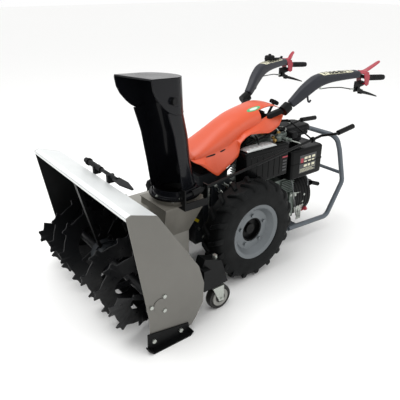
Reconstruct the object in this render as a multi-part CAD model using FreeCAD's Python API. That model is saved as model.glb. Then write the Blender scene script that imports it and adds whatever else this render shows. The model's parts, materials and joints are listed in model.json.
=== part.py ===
"""Walk-behind two-stage snow blower on a two-wheeled tractor unit.

Millimetres, +Z up, -Y forward (the auger), +X the machine's left side.  Shapes are drawn from the
wheel axle (Y = 0) and every one is moved by ORIGIN_Y at the end, so the origin is under the middle
of the machine, on the ground.
"""
import FreeCAD, Part
import math
import os

V = FreeCAD.Vector
X_AXIS = V(1, 0, 0)
Y_AXIS = V(0, 1, 0)
Z_AXIS = V(0, 0, 1)
ORIGIN_Y = -60.3

# ---- driving dimensions -------------------------------------------------------------------
HOUSING_HALF = 452.0          # outside of the side plates
PLATE = 4.0                   # side plate
SHEET = 3.0                   # folded sheet
AUGER_Y, AUGER_Z = -640.0, 202.0
AUGER_TIP_R = 185.0
RIBBON_OUT_R, RIBBON_IN_R = 160.0, 88.0
AUGER_SHAFT_R = 16.0
IMPELLER_Z = 237.0
IMPELLER_R = 180.0
IMPELLER_SHAFT_R = 12.0
DRUM_HALF = 195.0
DRUM_BACK_Y = -312.0
CHUTE_X, CHUTE_Y = 122.0, -334.0
NECK_TOP_Z = 466.0
CHUTE_RING_Z = 492.0
CHUTE_TURN = 17.7             # degrees to the machine's left
CHUTE_HALF = 90.0
TYRE_R, TYRE_W = 258.5, 127.0
TYRE_X = 263.5                # middle of the tyre
RIM_R = 127.0                 # bead seat
FLANGE_R = 141.0
CASTER_R = 60.0
CASTER_X = 395.0
HANDLE_PIVOT_Y, HANDLE_PIVOT_Z = 262.0, 738.0
CRANK_X = 256.0
FIT = 0.05                    # running fit, radial
GAP = 0.6                     # clearance between moving pieces

os.makedirs("parts", exist_ok=True)


# ---- shape helpers --------------------------------------------------------------------------
def box(x0, x1, y0, y1, z0, z1):
    """A box from its lowest corner to its highest corner."""
    return Part.makeBox(x1 - x0, y1 - y0, z1 - z0, V(x0, y0, z0))


def bar(start, end, radius):
    """A round bar between two points."""
    a = V(*start)
    b = V(*end)
    return Part.makeCylinder(radius, (b - a).Length, a, b - a)


def pipe(start, end, outer, inner):
    """A round tube between two points, with flush ends."""
    return bar(start, end, outer).cut(bar(start, end, inner))


def prism_x(outline, x0, x1):
    """A (Y, Z) outline carried along X."""
    wire = Part.makePolygon([V(x0, y, z) for y, z in outline] + [V(x0, *outline[0])])
    return Part.Face(wire).extrude(V(x1 - x0, 0, 0))


def strip_x(line, thickness, x0, x1):
    """A sheet of even thickness that follows a (Y, Z) line; the line is its right-hand side."""
    inner = []
    for i, (y, z) in enumerate(line):
        normal = [0.0, 0.0]
        for j in (i - 1, i):
            if 0 <= j < len(line) - 1:
                dy = line[j + 1][0] - line[j][0]
                dz = line[j + 1][1] - line[j][1]
                length = math.hypot(dy, dz)
                normal[0] += -dz / length
                normal[1] += dy / length
        size = math.hypot(*normal)
        count = 1 if i in (0, len(line) - 1) else 2
        reach = thickness * count / size
        inner.append((y + normal[0] / size * reach, z + normal[1] / size * reach))
    return prism_x(line + inner[::-1], x0, x1)


def fuse(shapes):
    """One solid from several that overlap or share faces."""
    whole = shapes[0].fuse(shapes[1:]) if len(shapes) > 1 else shapes[0]
    return whole.removeSplitter()


def cut(shape, tools):
    """The shape less every tool."""
    return shape.cut(Part.makeCompound(tools)) if tools else shape


def bent(points, radius, bend, inner=0.0):
    """A round rod or tube along straight runs joined by tangent arcs of one bend radius."""
    pts = [V(*p) for p in points]
    edges = []
    last = pts[0]
    for i in range(1, len(pts) - 1):
        before = (pts[i - 1] - pts[i]).normalize()
        after = (pts[i + 1] - pts[i]).normalize()
        half = before.getAngle(after) / 2
        back = bend / math.tan(half)
        reach = bend / math.sin(half)
        start = pts[i] + before * back
        end = pts[i] + after * back
        middle_dir = (before + after).normalize()
        middle = pts[i] + middle_dir * (reach - bend)
        edges.append(Part.makeLine(last, start))
        edges.append(Part.Arc(start, middle, end).toShape())
        last = end
    edges.append(Part.makeLine(last, pts[-1]))
    path = Part.Wire(edges)
    heading = (pts[1] - pts[0]).normalize()

    def sweep(r):
        ring = Part.Wire(Part.makeCircle(r, pts[0], heading))
        return path.makePipeShell([ring], True, False)
    solid = sweep(radius)
    return solid.cut(sweep(inner)) if inner else solid


def mirrored(shape):
    """The same shape on the other side of the machine."""
    return shape.mirror(V(0, 0, 0), X_AXIS)


def both(shape):
    """The left-hand shape and its mirror image."""
    return Part.makeCompound([shape, mirrored(shape)])


def save(name, shape):
    """Write one named node, moved to the part's own origin."""
    moved = shape.copy()
    moved.translate(V(0, ORIGIN_Y, 0))
    moved.exportStep("parts/%s.step" % name)


def bolt(point, direction, radius, height):
    """A hexagon head standing on a surface."""
    axis = V(*direction).normalize()
    base = V(*point)
    side = axis.cross(Z_AXIS)
    if side.Length < 0.1:
        side = axis.cross(X_AXIS)
    side.normalize()
    other = axis.cross(side)
    ring = [base + side * (radius * math.cos(math.radians(a))) + other * (radius * math.sin(math.radians(a)))
            for a in range(0, 361, 60)]
    return Part.Face(Part.makePolygon(ring)).extrude(axis * height)


# ---- blower housing ---------------------------------------------------------------------------
SIDE_OUTLINE = [(-760, 619), (-740, 627), (-634, 593), (-447, 306), (-420, 214), (-426, 123),
                (-457, 68), (-489, 28), (-690, 28), (-692, 158)]
ROOF_LINE = [(-634, 593), (-740, 627), (-760, 619)]
BACK_LINE = [(-489, 28), (-457, 68), (-426, 123), (-420, 214), (-447, 306), (-634, 593)]
DRUM_OUTLINE = [(-81, 432), (-DRUM_HALF, 318), (-DRUM_HALF, 156), (-81, 42), (81, 42), (DRUM_HALF, 156),
                (DRUM_HALF, 318), (81, 432)]


def housing_block(grow=0.0):
    """The solid block that the side plates' outline would fill between its ends."""
    return prism_x(SIDE_OUTLINE, -HOUSING_HALF - grow, HOUSING_HALF + grow)


def make_side_plates():
    plate = prism_x(SIDE_OUTLINE, HOUSING_HALF - PLATE, HOUSING_HALF)
    hole = bar((400, AUGER_Y, AUGER_Z), (500, AUGER_Y, AUGER_Z), 30)
    return both(plate.cut(hole))


def make_roof():
    inside = HOUSING_HALF - PLATE
    roof = strip_x(ROOF_LINE, SHEET, -inside, inside)
    hem = box(-inside, inside, -760, -757, 606, 617)
    return fuse([roof, hem])


def make_back_shell():
    inside = HOUSING_HALF - PLATE
    shell = strip_x(BACK_LINE, SHEET, -inside, inside)
    mouth = bar((0, -700, IMPELLER_Z), (0, -300, IMPELLER_Z), 184)
    return shell.cut(mouth).cut(make_roof())


def neck_loft(inset):
    """Tapered duct that leans back from the drum's upper left to the round chute seat."""
    low = (-5 + inset, DRUM_HALF - inset, -452 + inset, DRUM_BACK_Y - inset, 318 + inset)
    top = (19 + inset, 225 - inset, -452 + inset, -228 - inset, NECK_TOP_Z + inset / 10)
    wires = []
    for x0, x1, y0, y1, z in (low, top):
        corners = [V(x0, y0, z), V(x1, y0, z), V(x1, y1, z), V(x0, y1, z), V(x0, y0, z)]
        wires.append(Part.makePolygon(corners))
    return Part.makeLoft(wires, True, True)


def drum_prism(inset, back):
    """The drum's octagon, moved inwards by a sheet's thickness, back to a given plane."""
    wire = Part.makePolygon([V(x, -620, z) for x, z in DRUM_OUTLINE + DRUM_OUTLINE[:1]])
    if inset:
        wire = wire.makeOffset2D(-inset)
    return Part.Face(wire).extrude(V(0, 620 + back, 0))


def make_drum():
    drum = drum_prism(0, DRUM_BACK_Y).cut(drum_prism(SHEET, DRUM_BACK_Y - SHEET))
    shaft_hole = bar((0, -350, IMPELLER_Z), (0, -300, IMPELLER_Z), 34)
    return cut(drum, [shaft_hole, housing_block(), neck_loft(0)])


def make_neck():
    """Duct from the drum to a deck with a short round collar."""
    duct = neck_loft(0).cut(neck_loft(SHEET)).cut(drum_prism(SHEET, DRUM_BACK_Y - SHEET))
    duct = duct.cut(housing_block())
    deck = box(15, 229, -456, -224, NECK_TOP_Z, NECK_TOP_Z + 4)
    collar = pipe((CHUTE_X, CHUTE_Y, NECK_TOP_Z), (CHUTE_X, CHUTE_Y, CHUTE_RING_Z), 103, 99)
    way = bar((CHUTE_X, CHUTE_Y, NECK_TOP_Z - 10), (CHUTE_X, CHUTE_Y, CHUTE_RING_Z + 1), 99)
    return fuse([duct.cut(way), deck.cut(way), collar])


def make_chute_ring():
    ring = pipe((CHUTE_X, CHUTE_Y, CHUTE_RING_Z), (CHUTE_X, CHUTE_Y, CHUTE_RING_Z + 5), 116, 99)
    return ring


def make_skids():
    outline = [(-705, 85), (-507, 51), (-504, 12), (-514, 0), (-692, 0), (-707, 14)]
    web = prism_x(outline, HOUSING_HALF, HOUSING_HALF + 6)
    foot = prism_x([(-692, 0), (-514, 0), (-514, 6), (-692, 6)], HOUSING_HALF + 6, HOUSING_HALF + 30)
    nose = prism_x([(-692, 0), (-692, 6), (-712, 26), (-715, 20)], HOUSING_HALF, HOUSING_HALF + 30)
    tail = prism_x([(-514, 0), (-514, 6), (-500, 20), (-496, 16)], HOUSING_HALF, HOUSING_HALF + 30)
    return both(fuse([web, foot, nose, tail]))


def make_blade():
    inside = HOUSING_HALF - PLATE - 1
    return prism_x([(-486, 24), (-489, 28), (-602, 12), (-602, 6), (-596, 4)], -inside, inside)


def make_housing_bolts():
    heads = []
    skid_bolts = [(-680, 46), (-549, 35)]
    bearing_bolts = [(-619, 235), (-680, 207), (-621, 168)]
    for y, z in skid_bolts:
        heads.append(bolt((HOUSING_HALF + 6, y, z), (1, 0, 0), 10, 7))
    for y, z in bearing_bolts:
        heads.append(bolt((HOUSING_HALF, y, z), (1, 0, 0), 9, 6))
    heads += [mirrored(head) for head in heads]
    for angle in range(20, 380, 60):
        x = CHUTE_X + 109 * math.cos(math.radians(angle))
        y = CHUTE_Y + 109 * math.sin(math.radians(angle))
        heads.append(bolt((x, y, CHUTE_RING_Z), (0, 0, -1), 6, 5))
    return Part.makeCompound(heads)


def make_bearings():
    """Flanged bearings of the auger in the side plates, and of the impeller in the drum's back."""
    side = fuse([bar((HOUSING_HALF - PLATE - 5, AUGER_Y, AUGER_Z),
                     (HOUSING_HALF - PLATE, AUGER_Y, AUGER_Z), 58),
                 bar((HOUSING_HALF - 26, AUGER_Y, AUGER_Z), (HOUSING_HALF + 3, AUGER_Y, AUGER_Z), 29.5)])
    side = side.cut(bar((400, AUGER_Y, AUGER_Z), (HOUSING_HALF - 1, AUGER_Y, AUGER_Z), AUGER_SHAFT_R + FIT))
    back = fuse([bar((0, DRUM_BACK_Y, IMPELLER_Z), (0, DRUM_BACK_Y + 6, IMPELLER_Z), 62),
                 bar((0, DRUM_BACK_Y - SHEET, IMPELLER_Z), (0, DRUM_BACK_Y + 26, IMPELLER_Z), 33)])
    back = back.cut(bar((0, -400, IMPELLER_Z), (0, -200, IMPELLER_Z), IMPELLER_SHAFT_R + FIT))
    return Part.makeCompound([side, mirrored(side), back])


def make_strut():
    low = (-668, 262)
    line = [(-757, 612), (-745, 617), (low[0] + 4, low[1]), (low[0] - 8, low[1])]
    return prism_x(line, -12, 12).cut(make_auger_gearbox())


# ---- auger ---------------------------------------------------------------------------------------
def ribbon(pitch, turns):
    """A flat ring section carried along a helix about Z."""
    helix = Part.makeHelix(pitch, pitch * turns, RIBBON_IN_R)
    corner = [V(RIBBON_IN_R, 0, -3), V(RIBBON_OUT_R, 0, -3), V(RIBBON_OUT_R, 0, 3), V(RIBBON_IN_R, 0, 3),
              V(RIBBON_IN_R, 0, -3)]
    maker = Part.BRepOffsetAPI.MakePipeShell(Part.Wire(helix))
    maker.setFrenetMode(True)
    maker.add(Part.makePolygon(corner))
    maker.build()
    maker.makeSolid()
    return maker.shape()


def helicoid(x0, turns, pitch, teeth_per_turn, start):
    """Two flat ribbons half a turn apart on one hub, with square teeth and flat spokes."""
    flight = [ribbon(pitch, turns)]
    for k in range(1, int(turns * teeth_per_turn) + 1):
        angle = 360.0 / teeth_per_turn * k
        height = pitch * k / teeth_per_turn
        tooth = box(RIBBON_OUT_R - 8, AUGER_TIP_R, -22, 22, height - 3, height + 3)
        tooth.rotate(V(0, 0, 0), Z_AXIS, angle)
        flight.append(tooth)
        if k % 5 == 1:
            spoke = box(AUGER_SHAFT_R + 3, RIBBON_IN_R + 8, -11, 11, height - 2.5, height + 2.5)
            spoke.rotate(V(0, 0, 0), Z_AXIS, angle)
            flight.append(spoke)
    first = fuse(flight)
    second = first.copy()
    second.rotate(V(0, 0, 0), Z_AXIS, 180)
    hub = pipe((0, 0, -8), (0, 0, pitch * turns + 4), AUGER_SHAFT_R + 5, AUGER_SHAFT_R)
    whole = fuse([first, second, hub])
    whole.rotate(V(0, 0, 0), Z_AXIS, start)
    whole.rotate(V(0, 0, 0), Y_AXIS, 90)
    whole.translate(V(x0, AUGER_Y, AUGER_Z))
    return whole


def make_auger_flights():
    right = helicoid(-404, 1.33, 258, 8, 225)
    left = mirrored(right)
    return Part.makeCompound([left, right])


def make_auger_shaft():
    """Shaft and, as a second solid pressed on it, the worm wheel inside the gearbox."""
    half = HOUSING_HALF - 2
    shaft = bar((-half, AUGER_Y, AUGER_Z), (half, AUGER_Y, AUGER_Z), AUGER_SHAFT_R)
    wheel = pipe((-12, AUGER_Y, AUGER_Z), (12, AUGER_Y, AUGER_Z), 18.5, AUGER_SHAFT_R)
    return Part.makeCompound([shaft, wheel])


def make_auger_gearbox():
    """Split casting on the auger shaft with the impeller shaft's tube at its back."""
    body = fuse([bar((-38, AUGER_Y, AUGER_Z + 12), (38, AUGER_Y, AUGER_Z + 12), 62),
                 bar((0, AUGER_Y, IMPELLER_Z), (0, -470, IMPELLER_Z), 30),
                 bar((-56, AUGER_Y, AUGER_Z), (56, AUGER_Y, AUGER_Z), 30),
                 bar((-4, AUGER_Y, AUGER_Z + 12), (4, AUGER_Y, AUGER_Z + 12), 70)])
    room = fuse([bar((-16, AUGER_Y, AUGER_Z), (16, AUGER_Y, AUGER_Z), 34),
                 bar((0, -682, IMPELLER_Z), (0, -598, IMPELLER_Z), 19)])
    auger_way = bar((-80, AUGER_Y, AUGER_Z), (80, AUGER_Y, AUGER_Z), AUGER_SHAFT_R + FIT)
    impeller_way = bar((0, -690, IMPELLER_Z), (0, -460, IMPELLER_Z), IMPELLER_SHAFT_R + FIT)
    return cut(body, [room, auger_way, impeller_way])


def make_impeller():
    y0, y1 = -412.0, -330.0
    hub = pipe((0, y0, IMPELLER_Z), (0, y1, IMPELLER_Z), 34, IMPELLER_SHAFT_R)
    pieces = [hub]
    for k in range(4):
        paddle = fuse([box(30, IMPELLER_R, -3, 3, y0, y1), box(IMPELLER_R - 6, IMPELLER_R, -3, 24, y0, y1)])
        gusset = box(30, IMPELLER_R - 10, 0, 40, y1 - 4, y1)
        blade = fuse([paddle, gusset])
        blade.rotate(V(0, 0, 0), Z_AXIS, 90 * k + 20)
        pieces.append(placed_on_y(blade))
    return fuse(pieces)


def placed_on_y(shape):
    """Lay a shape drawn about Z so that its axis is the impeller's, along Y."""
    shape.rotate(V(0, 0, 0), X_AXIS, -90)
    shape.mirror(V(0, 0, 0), Y_AXIS)
    shape.translate(V(0, 0, IMPELLER_Z))
    return shape


def make_impeller_shaft():
    shaft = bar((0, -676, IMPELLER_Z), (0, -236, IMPELLER_Z), IMPELLER_SHAFT_R)
    worm = bar((0, -668, IMPELLER_Z), (0, -612, IMPELLER_Z), IMPELLER_SHAFT_R + 3)
    return fuse([shaft, worm])


# ---- chute -------------------------------------------------------------------------------------
CHUTE_LEVELS = [(512, 54, -90), (540, 60, -90), (650, 78, -56), (770, 102, -40), (896, 142, -6)]
DEFLECTOR_OUT = [(236, 1040), (229, 996), (212, 966), (182, 934), (150, 908), (100, 880), (-20, 880),
                 (-14, 940), (8, 980), (50, 1016)]
DEFLECTOR_ROOM = [(300, 1044), (300, 870), (-16.8, 870), (-11, 939), (10.5, 978.4), (51, 1013)]



def to_chute(shape):
    """Turn a shape drawn about the chute's axis (forward = +X) into place."""
    shape.rotate(V(0, 0, 0), Z_AXIS, CHUTE_TURN - 90)
    shape.translate(V(CHUTE_X, CHUTE_Y, 0))
    return shape


def chute_prism(outline, half):
    """A (forward, up) outline carried across the chute's width."""
    wire = Part.makePolygon([V(s, -half, z) for s, z in outline] + [V(outline[0][0], -half, outline[0][1])])
    return Part.Face(wire).extrude(V(0, 2 * half, 0))


def chute_channel(levels, radius, reach):
    """Solid channel with a half-round back; each level is a height with its front and back."""
    rings = []
    for z, front, back in levels:
        middle = back + CHUTE_HALF
        turn = [math.radians(a) for a in range(0, 181, 20)]
        ring = [V(front + reach, -radius, z)]
        ring += [V(middle - radius * math.sin(a), -radius * math.cos(a), z) for a in turn]
        ring.append(V(front + reach, radius, z))
        rings.append(Part.makePolygon(ring + [ring[0]]))
    return Part.makeLoft(rings, True, True)


def make_chute():
    """Turning flange, short tube and a channel that is open at its front."""
    base_z = CHUTE_RING_Z + 5 + GAP
    flange = pipe((0, 0, base_z), (0, 0, base_z + 5), 116, 94)
    tube = pipe((0, 0, base_z), (0, 0, 530), 98, 94)
    hollow_levels = [(500, 52, -90)] + CHUTE_LEVELS[1:-1] + [(912, 147, -2)]
    hollow = chute_channel(hollow_levels, CHUTE_HALF - 4, 60)
    way = bar((0, 0, 480), (0, 0, 532), 94)
    channel = cut(chute_channel(CHUTE_LEVELS, CHUTE_HALF, 0), [hollow, way])
    return to_chute(fuse([flange, tube, channel]))


def make_deflector():
    half_in = CHUTE_HALF + GAP
    outer = chute_prism(DEFLECTOR_OUT, half_in + 3)
    room = chute_prism(DEFLECTOR_ROOM, half_in)
    stud_way = Part.makeCylinder(5 + FIT, 20, V(118, half_in - 5, 940), Y_AXIS)
    pivots = [Part.makeCylinder(8, 4, V(24, side * (half_in + 3), 905), V(0, side, 0)) for side in (-1, 1)]
    return to_chute(fuse([outer.cut(room).cut(stud_way)] + pivots))


def make_deflector_knob():
    outside = CHUTE_HALF + GAP + 3
    knob = fuse([Part.makeCylinder(15, 12, V(118, outside + GAP, 940), Y_AXIS),
                 Part.makeCylinder(5, 4, V(118, outside - 3, 940), Y_AXIS)])
    return to_chute(knob)


# ---- chute crank --------------------------------------------------------------------------------------
ROD_START = V(CRANK_X, -306.0, 534.0)
ROD_END = V(CRANK_X, 500.0, 634.0)
ROD_DIR = (ROD_END - ROD_START).normalize()


def make_worm_bracket():
    """Angle under the neck's deck, with two ears that carry the crank's worm."""
    shelf = box(229, CRANK_X + 20, -388, -262, NECK_TOP_Z, NECK_TOP_Z + 4)
    web = box(CRANK_X + 14, CRANK_X + 20, -388, -262, NECK_TOP_Z, 500)
    ears = [box(CRANK_X - 12, CRANK_X + 20, y, y + 6, 490, 560) for y in (-388, -268)]
    feet = [box(CRANK_X - 2, CRANK_X + 20, y, y + 6, NECK_TOP_Z, 492) for y in (-388, -268)]
    way = bar(tuple(ROD_START - ROD_DIR * 140), tuple(ROD_START + ROD_DIR * 140), 7 + FIT)
    flange_room = pipe((CHUTE_X, CHUTE_Y, 480), (CHUTE_X, CHUTE_Y, 600), 119, 1)
    return cut(fuse([shelf, web] + ears + feet), [way, flange_room])


def make_chute_crank():
    tail = ROD_START - ROD_DIR * 92
    shaft = bar(tuple(tail), tuple(ROD_END), 7)
    worm = bar(tuple(ROD_START - ROD_DIR * 30), tuple(ROD_START + ROD_DIR * 22), 13)
    arm_end = ROD_END + V(90, -4, 32)
    arm = bar(tuple(ROD_END), tuple(arm_end), 7)
    stub = bar(tuple(arm_end), tuple(arm_end + ROD_DIR * 128), 7)
    balls = [Part.makeSphere(7, ROD_END), Part.makeSphere(7, arm_end)]
    grip = bar(tuple(arm_end + ROD_DIR * 16), tuple(arm_end + ROD_DIR * 134), 13)
    return fuse([shaft, worm, arm, stub, grip] + balls)


def rod_point(y):
    """Point of the crank rod's axis at a given Y."""
    return ROD_START + ROD_DIR * ((y - ROD_START.y) / ROD_DIR.y)


def make_crank_stay():
    """Bar from the handle column down to an eye that steadies the crank rod."""
    eye = rod_point(430)
    ring = bar(tuple(eye - ROD_DIR * 7), tuple(eye + ROD_DIR * 7), 14)
    ring = ring.cut(bar(tuple(eye - ROD_DIR * 20), tuple(eye + ROD_DIR * 20), 7 + FIT))
    top = V(124, 392, 700)
    towards = (top - eye).normalize()
    stay = bar(tuple(eye + towards * 11), tuple(top), 4)
    foot = bar((104, 392, 700), (126, 392, 700), 7)
    link = bar((41, 344, 690), (106, 392, 700), 6).cut(box(0, 40.5, 300, 400, 640, 740))
    return fuse([ring, stay, foot, link])


# ---- clean-out tool -----------------------------------------------------------------------------------------
def make_tool():
    """Shovel-ended stick held on the roof by two clips."""
    y, z = -618.0, 622.0
    handle = bar((-175, y, z), (-20, y, z), 12)
    collar = bar((-150, y, z), (-138, y, z), 17)
    shank = bar((-20, y, z), (120, y, z), 8)
    blade = Part.Face(Part.makePolygon([V(110, y - 16, z - 3), V(180, y - 20, z - 3), V(250, y - 4, z - 3),
                                        V(250, y + 4, z - 3), V(180, y + 20, z - 3), V(110, y + 16, z - 3),
                                        V(110, y - 16, z - 3)])).extrude(V(0, 0, 6))
    clips = []
    for x in (-70, 60):
        clips.append(box(x - 8, x + 8, y - 16, y + 16, 589, z + 4))
    solid = fuse([handle, collar, shank, blade] + clips)
    roof = strip_x(ROOF_LINE, SHEET, -400, 400)
    return solid.cut(roof).cut(housing_block()).Solids


# ---- casters ---------------------------------------------------------------------------------------------------
CASTER_SWIVEL_Y, CASTER_TRAIL = -318.0, 22.0


def make_caster_brackets():
    """Box behind each side plate that holds the caster's swivel stem."""
    body = prism_x([(-392, 300), (-300, 262), (-262, 142), (-350, 134), (-418, 160), (-418, 230)],
                   CASTER_X - 26, CASTER_X + 26)
    arm = box(CASTER_X - 20, HOUSING_HALF - PLATE - 1, -416, -380, 160, 260)
    body = fuse([body, arm]).cut(prism_x(SIDE_OUTLINE, 300, 500))
    stem_way = bar((CASTER_X, CASTER_SWIVEL_Y, 100), (CASTER_X, CASTER_SWIVEL_Y, 290), 10 + FIT)
    return both(body.cut(stem_way))


def caster_fork():
    stem = bar((CASTER_X, CASTER_SWIVEL_Y, 124), (CASTER_X, CASTER_SWIVEL_Y, 285), 10)
    crown = box(CASTER_X - 27, CASTER_X + 27, CASTER_SWIVEL_Y - 26, CASTER_SWIVEL_Y + 34, 123.5, 129.5)
    axle_y = CASTER_SWIVEL_Y + CASTER_TRAIL
    cheeks = []
    for x in (CASTER_X - 27, CASTER_X + 23):
        cheeks.append(prism_x([(CASTER_SWIVEL_Y - 26, 125), (CASTER_SWIVEL_Y + 34, 125),
                               (axle_y + 12, CASTER_R - 12), (axle_y - 12, CASTER_R - 12)], x, x + 4))
    pin = bar((CASTER_X - 32, axle_y, CASTER_R), (CASTER_X + 32, axle_y, CASTER_R), 6)
    return fuse([stem, crown] + cheeks + [pin])


def caster_wheel():
    axle_y = CASTER_SWIVEL_Y + CASTER_TRAIL
    profile = [(6 + FIT, -19), (24, -19), (28, -13), (48, -13), (52, -16), (58, -16), (CASTER_R, -10),
               (CASTER_R, 10), (58, 16), (52, 16), (48, 13), (28, 13), (24, 19), (6 + FIT, 19)]
    wire = Part.makePolygon([V(x, 0, r) for r, x in profile] + [V(profile[0][1], 0, profile[0][0])])
    wheel = Part.Face(wire).revolve(V(0, 0, 0), X_AXIS, 360)
    wheel.translate(V(CASTER_X, axle_y, CASTER_R))
    return wheel


# ---- drive ----------------------------------------------------------------------------------------------------------
def make_gearbox():
    """Transmission casting with the coupling that takes the blower at its front."""
    case = prism_x([(-190, 150), (-190, 350), (-150, 400), (60, 430), (110, 400), (150, 340), (150, 190),
                    (90, 150)], -88, 88)
    front = bar((0, -232, IMPELLER_Z), (0, -190, IMPELLER_Z), 78)
    nose = bar((0, DRUM_BACK_Y + 26, IMPELLER_Z), (0, -232, IMPELLER_Z), 62)
    hitch = box(-130, 130, -226, -206, 180, 330)
    tower = box(-60, 60, -150, 30, 400, 500)
    bore = bar((0, -400, IMPELLER_Z), (0, -230, IMPELLER_Z), IMPELLER_SHAFT_R + FIT)
    axle_room = bar((-100, 0, TYRE_R), (100, 0, TYRE_R), 34)
    return cut(fuse([case, front, nose, hitch, tower]), [bore, axle_room])


def make_axle_housing():
    """Cross tubes either side of the transmission, each with a flange and a bush."""
    tube = pipe((-150, 0, TYRE_R), (150, 0, TYRE_R), 34, 20)
    left = pipe((88, 0, TYRE_R), (98, 0, TYRE_R), 62, 34)
    ends = [pipe((120, 0, TYRE_R), (150, 0, TYRE_R), 44, 34)]
    whole = [tube, left] + ends + [mirrored(left), mirrored(ends[0])]
    bush = pipe((110, 0, TYRE_R), (150, 0, TYRE_R), 20, 15 + FIT)
    return fuse(whole + [bush, mirrored(bush)])


def wheel_hub():
    """Half axle with its hub plate, one piece."""
    axle = bar((2, 0, TYRE_R), (262, 0, TYRE_R), 15)
    hub = bar((152, 0, TYRE_R), (250, 0, TYRE_R), 30)
    plate = bar((250, 0, TYRE_R), (TYRE_X + 21.5, 0, TYRE_R), 92)
    dish = bar((264, 0, TYRE_R), (TYRE_X + 30, 0, TYRE_R), 56)
    nut = bar((260, 0, TYRE_R), (TYRE_X + 16, 0, TYRE_R), 26)
    return fuse([axle, hub, plate.cut(dish), nut])


def spun_x(profile, centre_x):
    """A (radius, offset along X) outline turned about the wheel axle."""
    wire = Part.makePolygon([V(x, 0, r) for r, x in profile] + [V(profile[0][1], 0, profile[0][0])])
    ring = Part.Face(wire).revolve(V(0, 0, 0), X_AXIS, 360)
    ring.translate(V(centre_x, 0, TYRE_R))
    return ring


def wheel_rim():
    """Pressed disc welded into a rolled rim with two flanges."""
    half = TYRE_W / 2 - 4
    barrel = [(FLANGE_R, half), (FLANGE_R, half - 4), (RIM_R, half - 12), (RIM_R - 22, 14), (RIM_R - 22, -14),
              (RIM_R, -half + 12), (FLANGE_R, -half + 4), (FLANGE_R, -half), (RIM_R - 4, -half + 6),
              (RIM_R - 26, -14), (RIM_R - 26, 22), (62, 22), (62, 27), (RIM_R - 26, 27), (RIM_R - 4, half - 6)]
    rim = spun_x(barrel, TYRE_X)
    heads = []
    for k in range(5):
        angle = math.radians(72 * k + 20)
        heads.append(bolt((TYRE_X + 27, 78 * math.cos(angle), TYRE_R + 78 * math.sin(angle)), (1, 0, 0), 9, 8))
    return fuse([rim] + heads)


def wheel_tyre():
    """Carcass with chevron lugs."""
    half = TYRE_W / 2
    body_r = TYRE_R - 16
    carcass = spun_x([(RIM_R + 0.5, half - 17.5), (FLANGE_R + 0.5, half - 9.5), (FLANGE_R + 0.8, half - 3),
                      (FLANGE_R + 12, half), (190, half + 2), (220, half - 3), (body_r, half - 22), (body_r + 2, 0),
                      (body_r, -half + 22), (220, -half + 3), (190, -half - 2), (FLANGE_R + 12, -half),
                      (FLANGE_R + 0.8, -half + 3), (FLANGE_R + 0.5, -half + 9.5), (RIM_R + 0.5, -half + 17.5),
                      (RIM_R + 0.5, -half + 28), (150, -half + 16), (226, -half + 18), (226, half - 18),
                      (150, half - 16), (RIM_R + 0.5, half - 28)], TYRE_X)
    pieces = [carcass]
    lugs = 18
    for k in range(lugs):
        for hand in (1, -1):
            foot = [V(2 * hand, -13, 0), V(2 * hand, 13, 0), V((half - 6) * hand, 43, 0), V((half - 6) * hand, 19, 0)]
            face = Part.Face(Part.makePolygon(foot + [foot[0]]))
            lug = face.extrude(V(0, 0, TYRE_R - 226))
            lug.translate(V(TYRE_X, 0, 226))
            lug.rotate(V(0, 0, 0), X_AXIS, 360.0 / lugs * (k + 0.25 * hand))
            lug.translate(V(0, 0, TYRE_R))
            pieces.append(lug)
    whole = pieces[0].fuse(pieces[1:])
    outside = spun_x([(100, -half - 6), (TYRE_R - 14, -half - 6), (TYRE_R, -half + 18), (TYRE_R, half - 18),
                      (TYRE_R - 14, half + 6), (100, half + 6)], TYRE_X)
    return whole.common(outside)


# ---- hood and handle column ---------------------------------------------------------------------------------------------
HOOD_TOP = [(-202, 606), (-192, 626), (-170, 641), (-105, 674), (51, 750), (130, 775), (206, 789), (264, 797),
            (345, 781), (372, 765)]
HOOD_SKIRT = [(332, 742), (310, 690), (241, 662), (116, 680), (43, 638), (36, 581), (-90, 512), (-150, 556),
              (-200, 600)]
HOOD_HALF = 130.0


def make_hood():
    outer = prism_x(HOOD_TOP + HOOD_SKIRT, -HOOD_HALF, HOOD_HALF)
    room_top = [(y, z - 5) for y, z in HOOD_TOP[2:-1]]
    room = prism_x([(-197, 600), (-187, 622)] + room_top + [(420, 740), (420, 450), (-300, 450), (-300, 600)],
                   -HOOD_HALF + 4, HOOD_HALF - 4)
    slots = [box(HOOD_HALF - 6, HOOD_HALF + 2, -158, -106, 628, 636),
             box(HOOD_HALF - 6, HOOD_HALF + 2, -62, -34, 640, 648)]
    slots += [mirrored(slot) for slot in slots]
    notch = prism_x([(196, 704), (212, 776), (262, 840), (420, 840), (420, 704)], -HOOD_HALF - 5, HOOD_HALF + 5)
    notch = notch.cut(box(-HOOD_HALF + 44, HOOD_HALF - 44, 100, 500, 600, 900))
    nose_room = pipe((CHUTE_X, CHUTE_Y, 500), (CHUTE_X, CHUTE_Y, 760), 134, 1)
    return cut(outer, [room, notch, nose_room] + slots)


def make_column():
    """Fixed tower under the hood that carries the handle pivot."""
    post = prism_x([(-20, 500), (-130, 500), (120, 640), (236, 716), (252, 766), (290, 750), (280, 690)], -42, 42)
    way = bar((-60, HANDLE_PIVOT_Y, HANDLE_PIVOT_Z), (60, HANDLE_PIVOT_Y, HANDLE_PIVOT_Z), 12 + FIT)
    tail = box(-40, 40, 262, 350, 676, 700)
    return cut(fuse([post, tail]), [way])


# ---- handlebar ------------------------------------------------------------------------------------------------------------
KNUCKLE = (150.0, 330.0, 780.0)
BEND = (198.0, 462.0, 900.0)
REAR = (262.0, 716.0, 922.0)
GRIP_START = (272.0, 806.0, 899.0)
GRIP_END = (276.0, 942.0, 887.0)


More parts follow.
